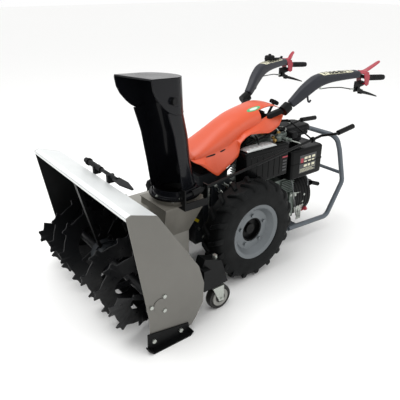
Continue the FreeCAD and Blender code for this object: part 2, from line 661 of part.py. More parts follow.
def make_handle_tubes():
    """Pivot pin and the two bent steel arms."""
    pin = bar((-104, HANDLE_PIVOT_Y, HANDLE_PIVOT_Z), (104, HANDLE_PIVOT_Y, HANDLE_PIVOT_Z), 12)
    root = bar((92, HANDLE_PIVOT_Y, HANDLE_PIVOT_Z), KNUCKLE, 17)
    clamp = bar((150, 308, 770), (150, 344, 791), 27)
    arm = bent([KNUCKLE, BEND, REAR, GRIP_START, GRIP_END], 10, 30)
    left = fuse([root, clamp, arm])
    return fuse([pin, left, mirrored(left)])


def arm_cover():
    """Hollow plastic shell round the arm, wider at the bend and flat on top at the back."""
    def section(point, heading, wide, tall):
        ahead = V(*heading).normalize()
        side = V(1, -0.2, 0)
        side = (side - ahead * side.dot(ahead)).normalize()
        up = side.cross(ahead).normalize()
        if up.z < 0:
            up = up * -1
        c = V(*point)
        ring = [c + side * wide + up * tall, c - side * wide + up * tall, c - side * wide - up * tall,
                c + side * wide - up * tall]
        return Part.makePolygon(ring + [ring[0]])
    rings = [section((158, 352, 800), (48, 132, 120), 20, 22), section((184, 424, 866), (48, 132, 120), 26, 32),
             section((200, 478, 905), (54, 190, 70), 29, 34), section((226, 574, 922), (64, 254, 22), 32, 24),
             section((262, 722, 926), (64, 254, 10), 32, 20)]
    shell = Part.makeLoft(rings, True, True)
    tube_room = bent([KNUCKLE, BEND, REAR, GRIP_START, GRIP_END], 10.3, 30)
    return cut(shell, [tube_room, bar((150, 300, 766), (150, 346, 792), 28)])


def grip():
    a = V(*GRIP_START)
    b = V(*GRIP_END)
    way = (b - a).normalize()
    return bar(tuple(a + way * 4), tuple(b + way * 3), 15).cut(bar(tuple(a), tuple(b), 10))


LEVER_PIVOT = (269.0, 772.0, 872.0)
BRAKE_PIVOT = (269.0, 730.0, 850.0)


def lever_bracket():
    """Plate under the arm's end that carries the pivots of the brake lever and the red lever."""
    plate = prism_x([(706, 890), (760, 890), (784, 882), (784, 862), (752, 856), (752, 836), (706, 836)],
                    265, 273)
    ways = [bar((200, y, z), (340, y, z), 4 + FIT) for y, z in (BRAKE_PIVOT[1:], LEVER_PIVOT[1:])]
    return cut(plate, ways)


def brake_lever():
    """Forked hand lever, sprung open."""
    x, y, z = BRAKE_PIVOT
    pin = bar((x - 12, y, z), (x + 12, y, z), 4)
    cheeks = [bar((x - 11, y, z), (x - 5, y, z), 11), bar((x + 5, y, z), (x + 11, y, z), 11)]
    neck = box(x - 11, x + 11, y + 26, y + 40, z - 30, z - 8)
    links = [prism_x([(y - 2, z + 9), (y + 34, z - 8), (y + 34, z - 26), (y - 6, z - 9)], x - 11, x - 5.2),
             prism_x([(y - 2, z + 9), (y + 34, z - 8), (y + 34, z - 26), (y - 6, z - 9)], x + 5.2, x + 11)]
    blade = prism_x([(y + 34, z - 10), (y + 100, z - 30), (y + 178, z - 58), (y + 184, z - 66), (y + 100, z - 44),
                     (y + 34, z - 28)], x - 8, x + 8)
    return fuse([pin] + cheeks + [neck] + links + [blade])


def red_lever(reach):
    """Bail lever clamped over the tube behind the cover, with one long ear."""
    x, y, z = LEVER_PIVOT[0], LEVER_PIVOT[1] + 6, LEVER_PIVOT[2] + 34
    outline = [(y - 18, z - 36), (y - 34, z + 22), (y - 22, z + 34), (y + 10, z + 20), (y + reach, z + 74),
               (y + reach + 10, z + 62), (y + 26, z + 2), (y + 12, z - 38), (y - 4, z - 44)]
    plate = prism_x(outline, x + 22, x + 27)
    inner = prism_x(outline, x - 27, x - 22)
    bridge = prism_x([(y + reach - 6, z + 70), (y + reach + 4, z + 70), (y + reach + 8, z + 62),
                      (y + reach - 2, z + 60)], x - 22.5, x + 22.5)
    pin = bar((x - 26, y - 6, z - 34), (x + 26, y - 6, z - 34), 4)
    return fuse([plate, inner, bridge, pin])


def brake_cable():
    """Cable from the underside of the cover to the brake bracket."""
    points = [(212, 500, 868), (222, 560, 868), (240, 630, 864), (262, 688, 852)]
    return bent(points, 2.6, 120)


def make_throttle():
    """Thumb lever on the right-hand cover's top."""
    pivot = (-236.0, 640.0, 950.0)
    disc = Part.makeCylinder(17, 7, V(*pivot), Z_AXIS)
    arm = box(-248, -240, 636, 690, 951, 956)
    tip = Part.makeCylinder(7, 12, V(-244, 690, 950), Z_AXIS)
    return fuse([disc, arm, tip])


def make_shift_rod():
    return fuse([bar((100, 112, 618), (100, 519, 684), 5), bar((100, 512, 682), (100, 626, 676), 12)])


# ---- engine -------------------------------------------------------------------------------------------------------------------
def make_crankcase():
    """Block bolted behind the transmission, with its sump and feet."""
    block = box(-120, 120, 152, 470, 120, 372)
    sump = box(-100, 100, 200, 460, 96, 120)
    return fuse([block, sump])


def make_cylinder():
    """Air-cooled barrel and head with a stack of fins."""
    core = box(-70, 70, 200, 340, 372, 560)
    fins = [box(-92, 92, 180, 350, z, z + 4) for z in range(384, 560, 15)]
    cover = box(-60, 60, 210, 330, 560, 612)
    return fuse([core, cover] + fins)


RECOIL_Z = 226.0


def make_recoil_cover():
    """Cup over the flywheel with the rope starter's dome and rope guide on its face."""
    cup = bar((0, 471, RECOIL_Z), (0, 600, RECOIL_Z), 146).cut(bar((0, 470, RECOIL_Z), (0, 595, RECOIL_Z), 142))
    dome = bar((0, 595, RECOIL_Z), (0, 650, RECOIL_Z), 96).cut(bar((0, 594, RECOIL_Z), (0, 645, RECOIL_Z), 92))
    guide = box(60, 112, 606, 640, 270, 304)
    return fuse([cup, dome, guide.cut(bar((0, 594, RECOIL_Z), (0, 645, RECOIL_Z), 92))])


def make_flywheel():
    disc = bar((0, 486, RECOIL_Z), (0, 540, RECOIL_Z), 134)
    hub = bar((0, 476, RECOIL_Z), (0, 586, RECOIL_Z), 24)
    vanes = []
    for k in range(12):
        vane = box(60, 128, 540, 578, -2, 2)
        vane.rotate(V(0, 0, 0), Y_AXIS, 30 * k)
        vane.translate(V(0, 0, RECOIL_Z))
        vanes.append(vane)
    return fuse([disc, hub] + vanes)


def make_pull_handle():
    stem = bar((112.6, 623, 288), (128, 634, 290), 7)
    grip_bar = bar((132, 610, 302), (132, 676, 276), 12)
    return fuse([stem, grip_bar]).cut(box(60, 112.6, 600, 660, 260, 320))


def make_tank():
    """Moulded tank with rounded edges and a filler neck."""
    tank = box(-150, 180, 372, 632, 378, 548)
    tank = tank.makeFillet(16, tank.Edges)
    neck = bar((60, 520, 546), (60, 520, 562), 24)
    return fuse([tank, neck])


def make_cap():
    return fuse([bar((60, 520, 562.6), (60, 520, 586), 34), bar((60, 520, 586), (60, 520, 590), 30)])


def make_battery_box():
    shell = box(96, 176, 48, 350, 430, 606)
    return shell.makeFillet(8, shell.Edges)


def make_air_cleaner():
    body = box(-40, 110, 396, 600, 594, 650)
    body = body.makeFillet(14, body.Edges)
    return body.cut(bar((60, 520, 500), (60, 520, 610), 42))


def make_muffler():
    body = box(-150, -98, 60, 340, 470, 640)
    body = body.makeFillet(14, body.Edges)
    pipe_out = bar((-124, 120, 640), (-124, 120, 672), 15).cut(bar((-124, 120, 600), (-124, 120, 673), 12))
    return fuse([body, pipe_out])


BUMPER_X = 190.0
BUMPER_LOOP = [(547, 89), (711, 78), (828, 277), (762, 486), (719, 575), (487, 656)]


def make_bumper():
    """Rear guard: one tube bent into a loop, with a cross tube and the engine's base plate."""
    side = [(BUMPER_X, y, z) for y, z in BUMPER_LOOP[:5]]
    far = [(-x, y, z) for x, y, z in side]
    loop = bent([(BUMPER_X, 380, 96)] + side[1:] + far[::-1][:-1] + [(-BUMPER_X, 380, 96)], 14, 48)
    cross = bar((-BUMPER_X + 8, 812, 330), (BUMPER_X - 8, 812, 330), 10)
    plate = box(-BUMPER_X, BUMPER_X, 210, 466, 84, 95)
    return fuse([loop, cross, plate])


# ---- all nodes ------------------------------------------------------------------------------------------------------------------
def write_nodes():
    save("side_plates", make_side_plates())
    save("roof_panel", make_roof())
    save("back_shell", make_back_shell())
    save("impeller_drum", make_drum())
    save("outlet_neck", make_neck())
    save("chute_ring", make_chute_ring())
    save("skid_shoes", make_skids())
    save("scraper_blade", make_blade())
    save("housing_bolts", make_housing_bolts())
    save("shaft_bearings", make_bearings())
    save("centre_strut", make_strut())
    save("auger_flights", make_auger_flights())
    save("auger_shaft", make_auger_shaft())
    save("auger_gearbox", make_auger_gearbox())
    save("impeller", make_impeller())
    save("impeller_shaft", make_impeller_shaft())
    save("chute", make_chute())
    save("deflector", make_deflector())
    save("deflector_knob", make_deflector_knob())
    save("worm_bracket", make_worm_bracket())
    save("chute_crank", make_chute_crank())
    save("crank_stay", make_crank_stay())
    save("clean_out_tool", Part.makeCompound(make_tool()))
    save("caster_brackets", make_caster_brackets())
    save("gearbox_casting", make_gearbox())
    save("axle_housing", make_axle_housing())
    save("hood", make_hood())
    save("handle_column", make_column())
    save("handle_tubes", make_handle_tubes())
    save("arm_covers", both(arm_cover()))
    save("grips", both(grip()))
    save("lever_brackets", both(lever_bracket()))
    save("brake_cables", both(brake_cable()))
    save("throttle_lever", make_throttle())
    save("shift_rod", make_shift_rod())
    save("crankcase", make_crankcase())
    save("cylinder_head", make_cylinder())
    save("recoil_cover", make_recoil_cover())
    save("flywheel", make_flywheel())
    save("pull_handle", make_pull_handle())
    save("fuel_tank", make_tank())
    save("fuel_cap", make_cap())
    save("battery_box", make_battery_box())
    save("air_cleaner", make_air_cleaner())
    save("muffler", make_muffler())
    save("bumper", make_bumper())
    sided = {"caster_fork": caster_fork(), "caster_wheel": caster_wheel(), "wheel_hub": wheel_hub(),
             "wheel_rim": wheel_rim(), "tyre": wheel_tyre(), "brake_lever": brake_lever(),
             "red_lever": red_lever(120)}
    for name, shape in sided.items():
        save(name + "_left", shape)
        other = red_lever(40) if name == "red_lever" else shape
        save(name + "_right", mirrored(other))


write_nodes()
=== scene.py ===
"""Walk-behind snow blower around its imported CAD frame.

Points in this file are millimetres in the drawing frame of the part: X to the machine's left, Y = 0 at the
wheel axle with the auger towards -Y, Z = 0 on the ground.  placed() turns them into the metres of the frame.
"""
import json
import math

import bmesh
import bpy
import numpy as np
from mathutils import Matrix


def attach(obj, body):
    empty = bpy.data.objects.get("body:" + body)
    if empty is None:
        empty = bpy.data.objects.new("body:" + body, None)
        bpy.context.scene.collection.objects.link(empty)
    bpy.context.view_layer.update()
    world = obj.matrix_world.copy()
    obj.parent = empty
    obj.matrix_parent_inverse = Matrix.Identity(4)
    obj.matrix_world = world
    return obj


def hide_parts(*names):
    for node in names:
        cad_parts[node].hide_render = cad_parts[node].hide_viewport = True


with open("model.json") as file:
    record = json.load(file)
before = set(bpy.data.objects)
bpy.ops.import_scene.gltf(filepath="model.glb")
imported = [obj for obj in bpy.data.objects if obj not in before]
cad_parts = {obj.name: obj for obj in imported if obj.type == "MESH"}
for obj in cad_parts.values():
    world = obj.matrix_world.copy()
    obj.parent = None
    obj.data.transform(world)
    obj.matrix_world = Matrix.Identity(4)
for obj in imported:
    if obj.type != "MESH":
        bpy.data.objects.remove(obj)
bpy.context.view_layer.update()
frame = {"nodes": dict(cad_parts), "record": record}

AXLE_Y = -60.3                       # the axle in the part's own frame
AUGER = np.array([-640.0, 202.0])    # Y and Z of the auger shaft
CHUTE_AXIS = np.array([122.0, -334.0])
CHUTE_TURN = math.radians(17.7)
TYRE_R, TYRE_X = 258.5, 263.5        # radius, and place of the middle plane
LUGS = 18                            # bars on each side of the tread
SHEET = 2.6                          # wall of the chute and of its deflector
CHUTE_R = 90.0                       # outer half width of the channel
DEFLECTOR_R = 93.8                   # outer half width of the deflector round it
DEFLECTOR_FRONT = 236                # its front edge, ahead of the chute's axis
DEFLECTOR_TOP = 1040
FLIGHT_X, FLIGHT_PITCH = -404, 258   # outer end of the ribbons, and their pitch
GRIP_START, GRIP_END = np.array([272.0, 806.0, 899.0]), np.array([276.0, 942.0, 887.0])


# ---- numbers into meshes ----
def placed(points):
    """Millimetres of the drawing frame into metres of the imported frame."""
    return (np.asarray(points, float) + (0.0, AXLE_Y, 0.0)) * 0.001


def quads(rows, cols, wrap_rows=False, wrap_cols=False):
    """Corners of a grid's squares: a point, the next in its row, and the two under them in the next row."""
    i, j = np.meshgrid(np.arange(rows - (not wrap_rows)), np.arange(cols - (not wrap_cols)), indexing="ij")
    i2, j2 = (i + 1) % rows, (j + 1) % cols
    return np.stack([i * cols + j, i * cols + j2, i2 * cols + j2, i2 * cols + j], -1).reshape(-1, 4)


def unit(v):
    return v / np.linalg.norm(v, axis=-1, keepdims=True)


def eased(points, count):
    """Catmull-Rom curve: between two points a cubic whose slope at each is half the step between its
    neighbours."""
    p = np.asarray(points, float)
    p = np.concatenate([2 * p[:1] - p[1:2], p, 2 * p[-1:] - p[-2:-1]])
    t = np.linspace(0, len(p) - 3 - 1e-9, count)
    k = t.astype(int)
    t = (t - k)[:, None]
    a, b, c, d = p[k], p[k + 1], p[k + 2], p[k + 3]
    square, cube = 2 * a - 5 * b + 4 * c - d, 3 * b - a - 3 * c + d
    return 0.5 * (2 * b + (c - a) * t + square * t ** 2 + cube * t ** 3)


def across(path, up=(0, 0, 1)):
    """Side and top directions of a section square to the path, the top one as near to up as it can be."""
    along = unit(np.gradient(path, axis=0))
    side = unit(np.cross(along, up))
    return side, np.cross(side, along)


def tube(path, radius, sides=14, up=(0, 0, 1)):
    """Circle of that radius carried along a path: centre + r (cos a . side + sin a . top)."""
    side, top = across(np.asarray(path, float), up)
    a = np.linspace(0, 2 * np.pi, sides, endpoint=False)[None, :, None]
    radius = np.broadcast_to(np.asarray(radius, float), (len(path),))[:, None, None]
    return np.asarray(path, float)[:, None] + radius * (np.cos(a) * side[:, None] + np.sin(a) * top[:, None])


def spun(profile, centre, axis, sides=64):
    """Profile of (radius, height) turned round an axis: centre + height . axis + r (cos a . u + sin a .
    v)."""
    axis = unit(np.asarray(axis, float))
    u = unit(np.cross(axis, (0.3, 0.9, 0.31)))
    v = np.cross(axis, u)
    a = np.linspace(0, 2 * np.pi, sides, endpoint=False)[None, :, None]
    r, h = np.asarray(profile, float).T[:, :, None, None]
    return np.asarray(centre, float) + h * axis + r * (np.cos(a) * u + np.sin(a) * v)


class Shape:
    """Points and faces gathered from several closed surfaces before they become one piece."""

    def __init__(self):
        self.points, self.faces, self.count = [], [], 0

    def add(self, points, faces):
        points = np.asarray(points, float).reshape(-1, 3)
        self.faces += [[c + self.count for c in f] for f in (faces.tolist() if hasattr(faces,
                                                                                       "tolist") else faces)]
        self.points.append(points)
        self.count += len(points)
        return self

    def rings(self, rings, close=False):
        """Closed sections joined one to the next, with a flat cap on each end unless they close on
        themselves."""
        n, m = rings.shape[:2]
        faces = quads(n, m, close, True).tolist()
        if not close:
            faces += [list(range(m))[::-1], list(range((n - 1) * m, n * m))]
        return self.add(rings, faces)

    def slab(self, outline, offset):
        """Flat outline and its copy moved by offset, with walls between."""
        outline = np.asarray(outline, float)
        return self.rings(np.stack([outline, outline + np.asarray(offset, float)]))

    def block(self, low, high):
        """Box between two corners."""
        (x0, y0, z0), (x1, y1, z1) = low, high
        return self.slab([(x0, y0, z0), (x1, y0, z0), (x1, y1, z0), (x0, y1, z0)], (0, 0, z1 - z0))

    def mirrored(self):
        """Everything so far and its mirror image in X."""
        points, faces = np.concatenate(self.points), [f[::-1] for f in self.faces]
        return self.add(points * (-1, 1, 1), faces)


def piece(name, shape, material, body, replaced=(), bevel=0.0, thick=0.0, sharp=38):
    """One finished object from a Shape, faces outwards, riding on its body.  Sizes are in mm: bevel rounds
    edges over 30 degrees, thick gives a sheet its wall, and edges over sharp degrees stay crisp."""
    mesh = bpy.data.meshes.new(name)
    mesh.from_pydata(placed(np.concatenate(shape.points)), [], shape.faces)
    bm = bmesh.new()
    bm.from_mesh(mesh)
    bmesh.ops.remove_doubles(bm, verts=bm.verts, dist=1e-6)
    bmesh.ops.recalc_face_normals(bm, faces=bm.faces)
    bm.to_mesh(mesh)
    bm.free()
    mesh.shade_smooth()
    mesh.set_sharp_from_angle(angle=math.radians(sharp))
    obj = bpy.data.objects.new(name, mesh)
    bpy.context.scene.collection.objects.link(obj)
    mesh.materials.append(material)
    if thick:
        wall = obj.modifiers.new("wall", "SOLIDIFY")
        wall.thickness, wall.offset = thick * 0.001, -1
        wall.use_even_offset = True
    if bevel:
        edge = obj.modifiers.new("edge", "BEVEL")
        edge.width, edge.segments, edge.limit_method = bevel * 0.001, 2, "ANGLE"
        edge.angle_limit, edge.harden_normals = math.radians(30), True
    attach(obj, body)
    if replaced:
        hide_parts(*replaced)


# ---- materials ----
def linear(code):
    """sRGB hex colour as linear red, green, blue and alpha."""
    c = np.array([int(code[i:i + 2], 16) for i in (1, 3, 5)]) / 255
    return (*np.where(c <= 0.04045, c / 12.92, ((c + 0.055) / 1.055) ** 2.4).tolist(), 1.0)


def node(tree, kind, settings=None, **feeds):
    """Add one node; settings are its own choices, feeds are its sockets by name or number, linked or
    constant."""
    n = tree.nodes.new(kind)
    for key, value in (settings or {}).items():
        setattr(n, key, value)
    for key, value in feeds.items():
        socket = n.inputs[int(key[1:])] if key[0] == "n" and key[1:].isdigit() else n.inputs[key.replace("_",
                                                                                                         " ")]
        if isinstance(value, bpy.types.NodeSocket):
            tree.links.new(value, socket)
        else:
            socket.default_value = value
    return n


def finish(name, light, dark, rough=(0.4, 0.55), metallic=0.0, cloud=60, grain=2.0, depth=0.1, coat=0.0,
           coat_rough=0.1, edge=None, edge_mm=1.2, specular=0.5, inside=None, stretch=(1, 1, 1)):
    """A surface whose colour drifts between light and dark over patches cloud mm wide, with grain mm wide
    bumps depth mm high, a roughness between the two given, paler worn edges, and another colour inside a
    hollow."""
    mat = bpy.data.materials.new(name)
    mat.use_nodes = True
    tree = mat.node_tree
    shader = tree.nodes["Principled BSDF"]
    place = node(tree, "ShaderNodeTexCoord").outputs["Object"]
    place = node(tree, "ShaderNodeMapping", Vector=place, Scale=stretch).outputs[0]
    patches = node(tree, "ShaderNodeTexNoise", Vector=place, Scale=1000 / cloud, Detail=5.0, Roughness=0.6)
    grains = node(tree, "ShaderNodeTexNoise", Vector=place, Scale=1000 / grain, Detail=3.0, Roughness=0.55)
    colour = node(tree, "ShaderNodeMix", {"data_type": "RGBA"}, n6=linear(light), n7=linear(dark),
                  n0=patches.outputs[0]).outputs[2]
    if edge:
        corner = node(tree, "ShaderNodeBevel", {"samples": 4}, Radius=edge_mm / 1000).outputs[0]
        flat = node(tree, "ShaderNodeNewGeometry").outputs["Normal"]
        turn = node(tree, "ShaderNodeVectorMath", {"operation": "DOT_PRODUCT"}, n0=corner, n1=flat).outputs[1]
        wear = node(tree, "ShaderNodeMapRange", Value=turn, n1=0.995, n2=0.86, n3=0.0, n4=0.75).outputs[0]
        patchy = node(tree, "ShaderNodeMath", {"operation": "MULTIPLY"}, n0=wear,
                      n1=patches.outputs[0]).outputs[0]
        colour = node(tree, "ShaderNodeMix", {"data_type": "RGBA"}, n0=patchy, n6=colour,
                      n7=linear(edge)).outputs[2]
    if inside:
        mask = inside(tree, place)
        colour = node(tree, "ShaderNodeMix", {"data_type": "RGBA"}, n0=mask, n6=colour,
                      n7=linear("#0b0c0d")).outputs[2]
        metal = node(tree, "ShaderNodeMapRange", Value=mask, n1=0.0, n2=1.0, n3=metallic, n4=0.0).outputs[0]
        tree.links.new(metal, shader.inputs["Metallic"])
    else:
        shader.inputs["Metallic"].default_value = metallic
    tree.links.new(colour, shader.inputs["Base Color"])
    gloss = node(tree, "ShaderNodeMapRange", Value=patches.outputs[0], n1=0.3, n2=0.7, n3=rough[0],
                 n4=rough[1])
    tree.links.new(gloss.outputs[0], shader.inputs["Roughness"])
    bump = node(tree, "ShaderNodeBump", Height=grains.outputs[0], Strength=0.6, Distance=depth / 1000)
    tree.links.new(bump.outputs[0], shader.inputs["Normal"])
    shader.inputs["Coat Weight"].default_value = coat
    shader.inputs["Coat Roughness"].default_value = coat_rough
    shader.inputs["Specular IOR Level"].default_value = specular
    return mat


def facing(centre, weights):
    """Mask that is 1 on faces that look at a centre, an axis or a plane: the sign of the place's distance
    from the centre, counted only along the directions with a weight, dotted with the normal."""
    centre = tuple(float(c) for c in placed(centre))

    def mask(tree, place):
        out = node(tree, "ShaderNodeVectorMath", {"operation": "SUBTRACT"}, n0=place, n1=centre).outputs[0]
        flat = node(tree, "ShaderNodeVectorMath", {"operation": "MULTIPLY"}, n0=out, n1=weights).outputs[0]
        normal = node(tree, "ShaderNodeNewGeometry").outputs["Normal"]
        dot = node(tree, "ShaderNodeVectorMath", {"operation": "DOT_PRODUCT"}, n0=flat, n1=normal).outputs[1]
        return node(tree, "ShaderNodeMath", {"operation": "LESS_THAN"}, n0=dot, n1=-0.02).outputs[0]
    return mask


# Silver-grey baked enamel on sheet steel: warm, nearly flat grey with a soft sheen and faint orange peel.
side_enamel = finish("silver_grey_enamelled_steel", "#6e6c67", "#64635e", (0.36, 0.48), 0.3, 180, 1.6, 0.02,
                     edge="#a5a49e", inside=facing((0, 0, 0), (1, 0, 0)))
# The same enamel on the roof, painted paler to stand in for the light that falls on the top.
roof_enamel_painted_light = finish("enamelled_steel_painted_top_light", "#dfe2e1", "#cfd2d2", (0.32, 0.44), 0.2, 150, 1.6, 0.02,
                     edge="#dcdedd", inside=facing((0, 0, 400), (0, 0, 1)))
# The shell and the drum behind it: the same grey, painted a little lighter to stand in for the light on their
# curved faces, the drum lighter still.
back_enamel_painted_light = finish("silver_grey_enamelled_shell_painted_light", "#7d7b75", "#716f69", (0.36, 0.48), 0.3, 160, 1.6, 0.02,
                     edge="#a5a49e", inside=facing((0, *AUGER), (0, 1, 1)))
drum_enamel_painted_light = finish("silver_grey_enamelled_drum_painted_light", "#96948d", "#88867f", (0.36, 0.48), 0.3, 160, 1.6, 0.02,
                     edge="#a5a49e", inside=facing((0, 0, 237), (1, 0, 1)))
# Enamelled sheet of the chute's neck: a warmer and darker grey with soft clouds.
neck_enamel = finish("enamelled_neck_sheet", "#7e7b73", "#6a675f", (0.34, 0.5), 0.3, 60, 1.6, 0.02,
                     edge="#a9a8a2", inside=facing((*CHUTE_AXIS, 0), (1, 1, 0)))
# Black powder coat on pressed steel: a fine pebble and a wide soft highlight.
powder_black = finish("black_powder_coated_steel", "#0b0c0d", "#060707", (0.34, 0.5), 0.0, 40, 0.9, 0.05,
                      edge="#2b2c2d", specular=0.14)
# Auger steel: black paint scuffed by snow and gravel, a little shinier where it is rubbed.
auger_paint = finish("scuffed_black_paint_on_steel", "#17181a", "#0c0d0e", (0.25, 0.5), 0.0, 25, 1.5, 0.12,
                     edge="#4c4d50", edge_mm=1.6, specular=0.25)
# Gloss black enamel under a clear coat: deep, mirror-like, with faint waves.
gloss_black = finish("gloss_black_enamel", "#131418", "#0e0f12", (0.2, 0.28), 0.0, 90, 14, 0.05, coat=0.16,
                     coat_rough=0.05, edge="#22252a", edge_mm=1.0, specular=0.06)
# Bright zinc plate on screws, springs and plates, a little cloudy.
zinc_bright = finish("zinc_plated_steel", "#c2c5c0", "#9aa098", (0.25, 0.42), 0.85, 12, 1.0, 0.03,
                     edge="#dcded9")
# Turned steel, grey with fine tool marks.
steel_bare = finish("machined_steel", "#8b8d8f", "#6c6e70", (0.28, 0.45), 1.0, 15, 0.8, 0.03)
# Painted cast iron: dark grey over a sandy skin.
cast_grey = finish("painted_cast_iron", "#22262a", "#14171a", (0.45, 0.65), 0.0, 35, 2.2, 0.35,
                   edge="#4a5054",
                   edge_mm=2.0, specular=0.3)
# Die-cast aluminium that oil has dulled to a greenish grey.
alloy_cast = finish("die_cast_aluminium", "#79827c", "#4c5450", (0.38, 0.55), 0.75, 18, 1.6, 0.2,
                    edge="#a5ada7")
# Aluminium heat shield: bright, rubbed and slightly buckled.
brushed_shield = finish("aluminium_heat_shield", "#d2d4d3", "#a3a6a5", (0.3, 0.5), 0.7, 16, 0.9, 0.05,
                        stretch=(1, 0.15, 1))
# Turned brass unions: small warm yellow glints.
brass_metal = finish("turned_brass", "#b5965a", "#8f7340", (0.3, 0.42), 0.9, 10, 0.8, 0.03)
# Moulded ABS, coloured through: even orange with a low satin gloss.
orange_abs = finish("moulded_orange_abs", "#cf5029", "#c74a25", (0.34, 0.42), 0.0, 140, 1.2, 0.02, coat=0.2,
                    coat_rough=0.3, specular=0.4)
# Textured polypropylene: black with the fine stipple of an etched mould.
soft_black = finish("textured_black_polypropylene", "#0c0d0f", "#08090a", (0.5, 0.62), 0.0, 50, 1.1, 0.08,
                    specular=0.16)
# Charcoal plastic of the arm covers: bluish grey, with a broader sheen than the black parts.
cover_grey = finish("moulded_charcoal_polypropylene", "#282a31", "#1f2128", (0.42, 0.52), 0.0, 60, 1.1, 0.07,
                    specular=0.3)
# Soft grip rubber: dull and black, greyer where hands rub it.
grip_rubber = finish("moulded_grip_rubber", "#0c0d0e", "#121315", (0.55, 0.7), 0.0, 14, 0.8, 0.12,
                     specular=0.25)
# Tyre rubber: near black, dry and dusty in patches.
tyre_rubber = finish("tyre_rubber", "#0d0f10", "#070808", (0.46, 0.66), 0.0, 45, 1.4, 0.12, specular=0.12)
# Silver paint on the pressed rims, darkened to a mid grey as painted shade from the deep dish; slightly
# metallic, pale at its edges.
rim_paint_painted_shade = finish("silver_wheel_enamel_painted_shade", "#6b7073", "#5f6467", (0.34, 0.46), 0.4, 70, 1.4, 0.03,
                   edge="#a4a8ab")
# Blue-grey enamel on the bent guard tube.
guard_paint = finish("grey_enamelled_tube", "#596067", "#4e555c", (0.34, 0.46), 0.25, 60, 1.4, 0.02,
                     edge="#878d93")
# Red nylon of the levers and caps: deep crimson with a clean highlight.
red_nylon = finish("moulded_red_nylon", "#a51731", "#901428", (0.32, 0.42), 0.0, 50, 1.2, 0.03, coat=0.2)
# Black enamel of the tank and box: smooth, with slow waves in its reflections.
tank_enamel = finish("black_enamelled_tank", "#090a0b", "#060707", (0.26, 0.36), 0.0, 80, 5.0, 0.03, coat=0.1,
                     coat_rough=0.12, specular=0.06)
# Caster tread: brownish dark grey, matt.
caster_rubber = finish("grey_caster_rubber", "#2a2927", "#1e1d1c", (0.5, 0.65), 0.0, 20, 1.0, 0.08,
                       specular=0.3)
# Caster hub: plain pale grey nylon.
grey_nylon = finish("grey_nylon_hub", "#8b8b86", "#7a7a75", (0.4, 0.5), 0.0, 20, 1.0, 0.03)
# Printed vinyl: flat colour under a thin shine.
cream_label = finish("cream_vinyl_label", "#d9d6bb", "#cfcbb0", (0.35, 0.45), 0.0, 60, 1.0, 0.01, coat=0.2)
dark_label = finish("dark_grey_vinyl_label", "#26282a", "#1f2123", (0.35, 0.45), 0.0, 60, 1.0, 0.01, coat=0.2)
yellow_vinyl = finish("yellow_vinyl_tag", "#d3bf1e", "#c2ae18", (0.35, 0.45), 0.0, 30, 1.0, 0.01)
badge_green = finish("green_vinyl_badge", "#3fae6c", "#379c60", (0.3, 0.4), 0.0, 30, 1.0, 0.01, coat=0.3)
badge_white = finish("pale_vinyl_badge", "#d3ddd4", "#c5d2c8", (0.3, 0.4), 0.0, 30, 1.0, 0.01, coat=0.3)

SLOT_FINISH = {
    "zinc_sheet": back_enamel_painted_light, "black_sheet": powder_black, "black_steel": powder_black, "steel": steel_bare,
    "zinc_fastener": zinc_bright, "casting": cast_grey, "orange_plastic": orange_abs,
               "black_plastic": soft_black,
    "grip_rubber": grip_rubber, "tyre_rubber": tyre_rubber, "rim_silver": rim_paint_painted_shade,
               "guard_grey": guard_paint,
    "red_plastic": red_nylon, "engine_metal": alloy_cast, "tank_black": tank_enamel,
               "chute_plastic": gloss_black,
    "caster_tread": caster_rubber,
}
NODE_FINISH = {"side_plates": side_enamel, "roof_panel": roof_enamel_painted_light, "shaft_bearings": side_enamel,
               "impeller_drum": drum_enamel_painted_light, "outlet_neck": neck_enamel}
for spec in frame["record"]["subparts"]:
    cad = frame["nodes"][spec["node"]]
    wanted = NODE_FINISH.get(spec["node"]) or SLOT_FINISH[spec["material_slot"]]
    cad.data.materials.clear()
    cad.data.materials.append(wanted)


# ---- hood ----
def along(points):
    """Height as a smooth function of Y through the given points."""
    dense = eased(points, 240)
    order = np.argsort(dense[:, 0], kind="stable")
    return lambda y: np.interp(y, dense[order, 0], dense[order, 1])


HOOD_CROWN = along([(-204, 602), (-192, 626), (-170, 641), (-105, 674), (-27, 714), (51, 750), (130, 775),
                    (206, 789),
                    (264, 797), (310, 793), (345, 781), (372, 765)])
HOOD_CREASE = along([(-204, 598), (-128, 611), (-73, 618), (-14, 630), (40, 656), (66, 668), (96, 688),
                     (175, 710),
                     (243, 734), (300, 748), (372, 756)])
HOOD_EDGE = [(-204, 594), (-188, 586), (-150, 556), (-120, 531), (-94, 513), (-84, 513), (20, 571), (36, 583),
             (44, 604), (48, 640), (58, 652), (84, 670), (116, 680), (180, 673), (241, 664), (276, 674),
             (310, 692),
             (332, 730), (344, 744), (372, 752)]


def hood_surface(y, v):
    """Half section at Y: a quarter superellipse from the crown (v = 0) to the crease (v = 1), a ledge that
    runs outwards to v = 1.6, and a lip that turns down to v = 2.  The sign of v picks the side."""
    side, v = np.sign(v), np.abs(v)
    width = np.interp(y, [-204, -190, -160, -110, 0, 300, 372], [66, 82, 92, 97, 99, 99, 92])
    crown, crease = HOOD_CROWN(y), HOOD_CREASE(y)
    edge = np.minimum(np.interp(y, *np.transpose(HOOD_EDGE)), crease - 1.5)
    lip = np.minimum(15, 0.45 * (crease - edge))
    theta = np.clip(v, 0, 1) * np.pi / 2
    x = width * np.sin(theta) ** 0.86
    z = crease + (crown - crease) * np.maximum(np.cos(theta), 0) ** 0.80
    ledge = np.clip((v - 1) / 0.6, 0, 1)
    reach = np.interp(y, [-204, -170, 330, 372], [104, 129, 129, 112])
    x = x + (reach - width) * ledge
    z = z + (edge + lip - crease) * ledge ** 1.25
    turned = np.clip((v - 1.6) / 0.4, 0, 1)
    return np.stack([side * (x + 1.5 * np.sin(turned * np.pi / 2)), y + 0 * x, z - lip * turned], -1)


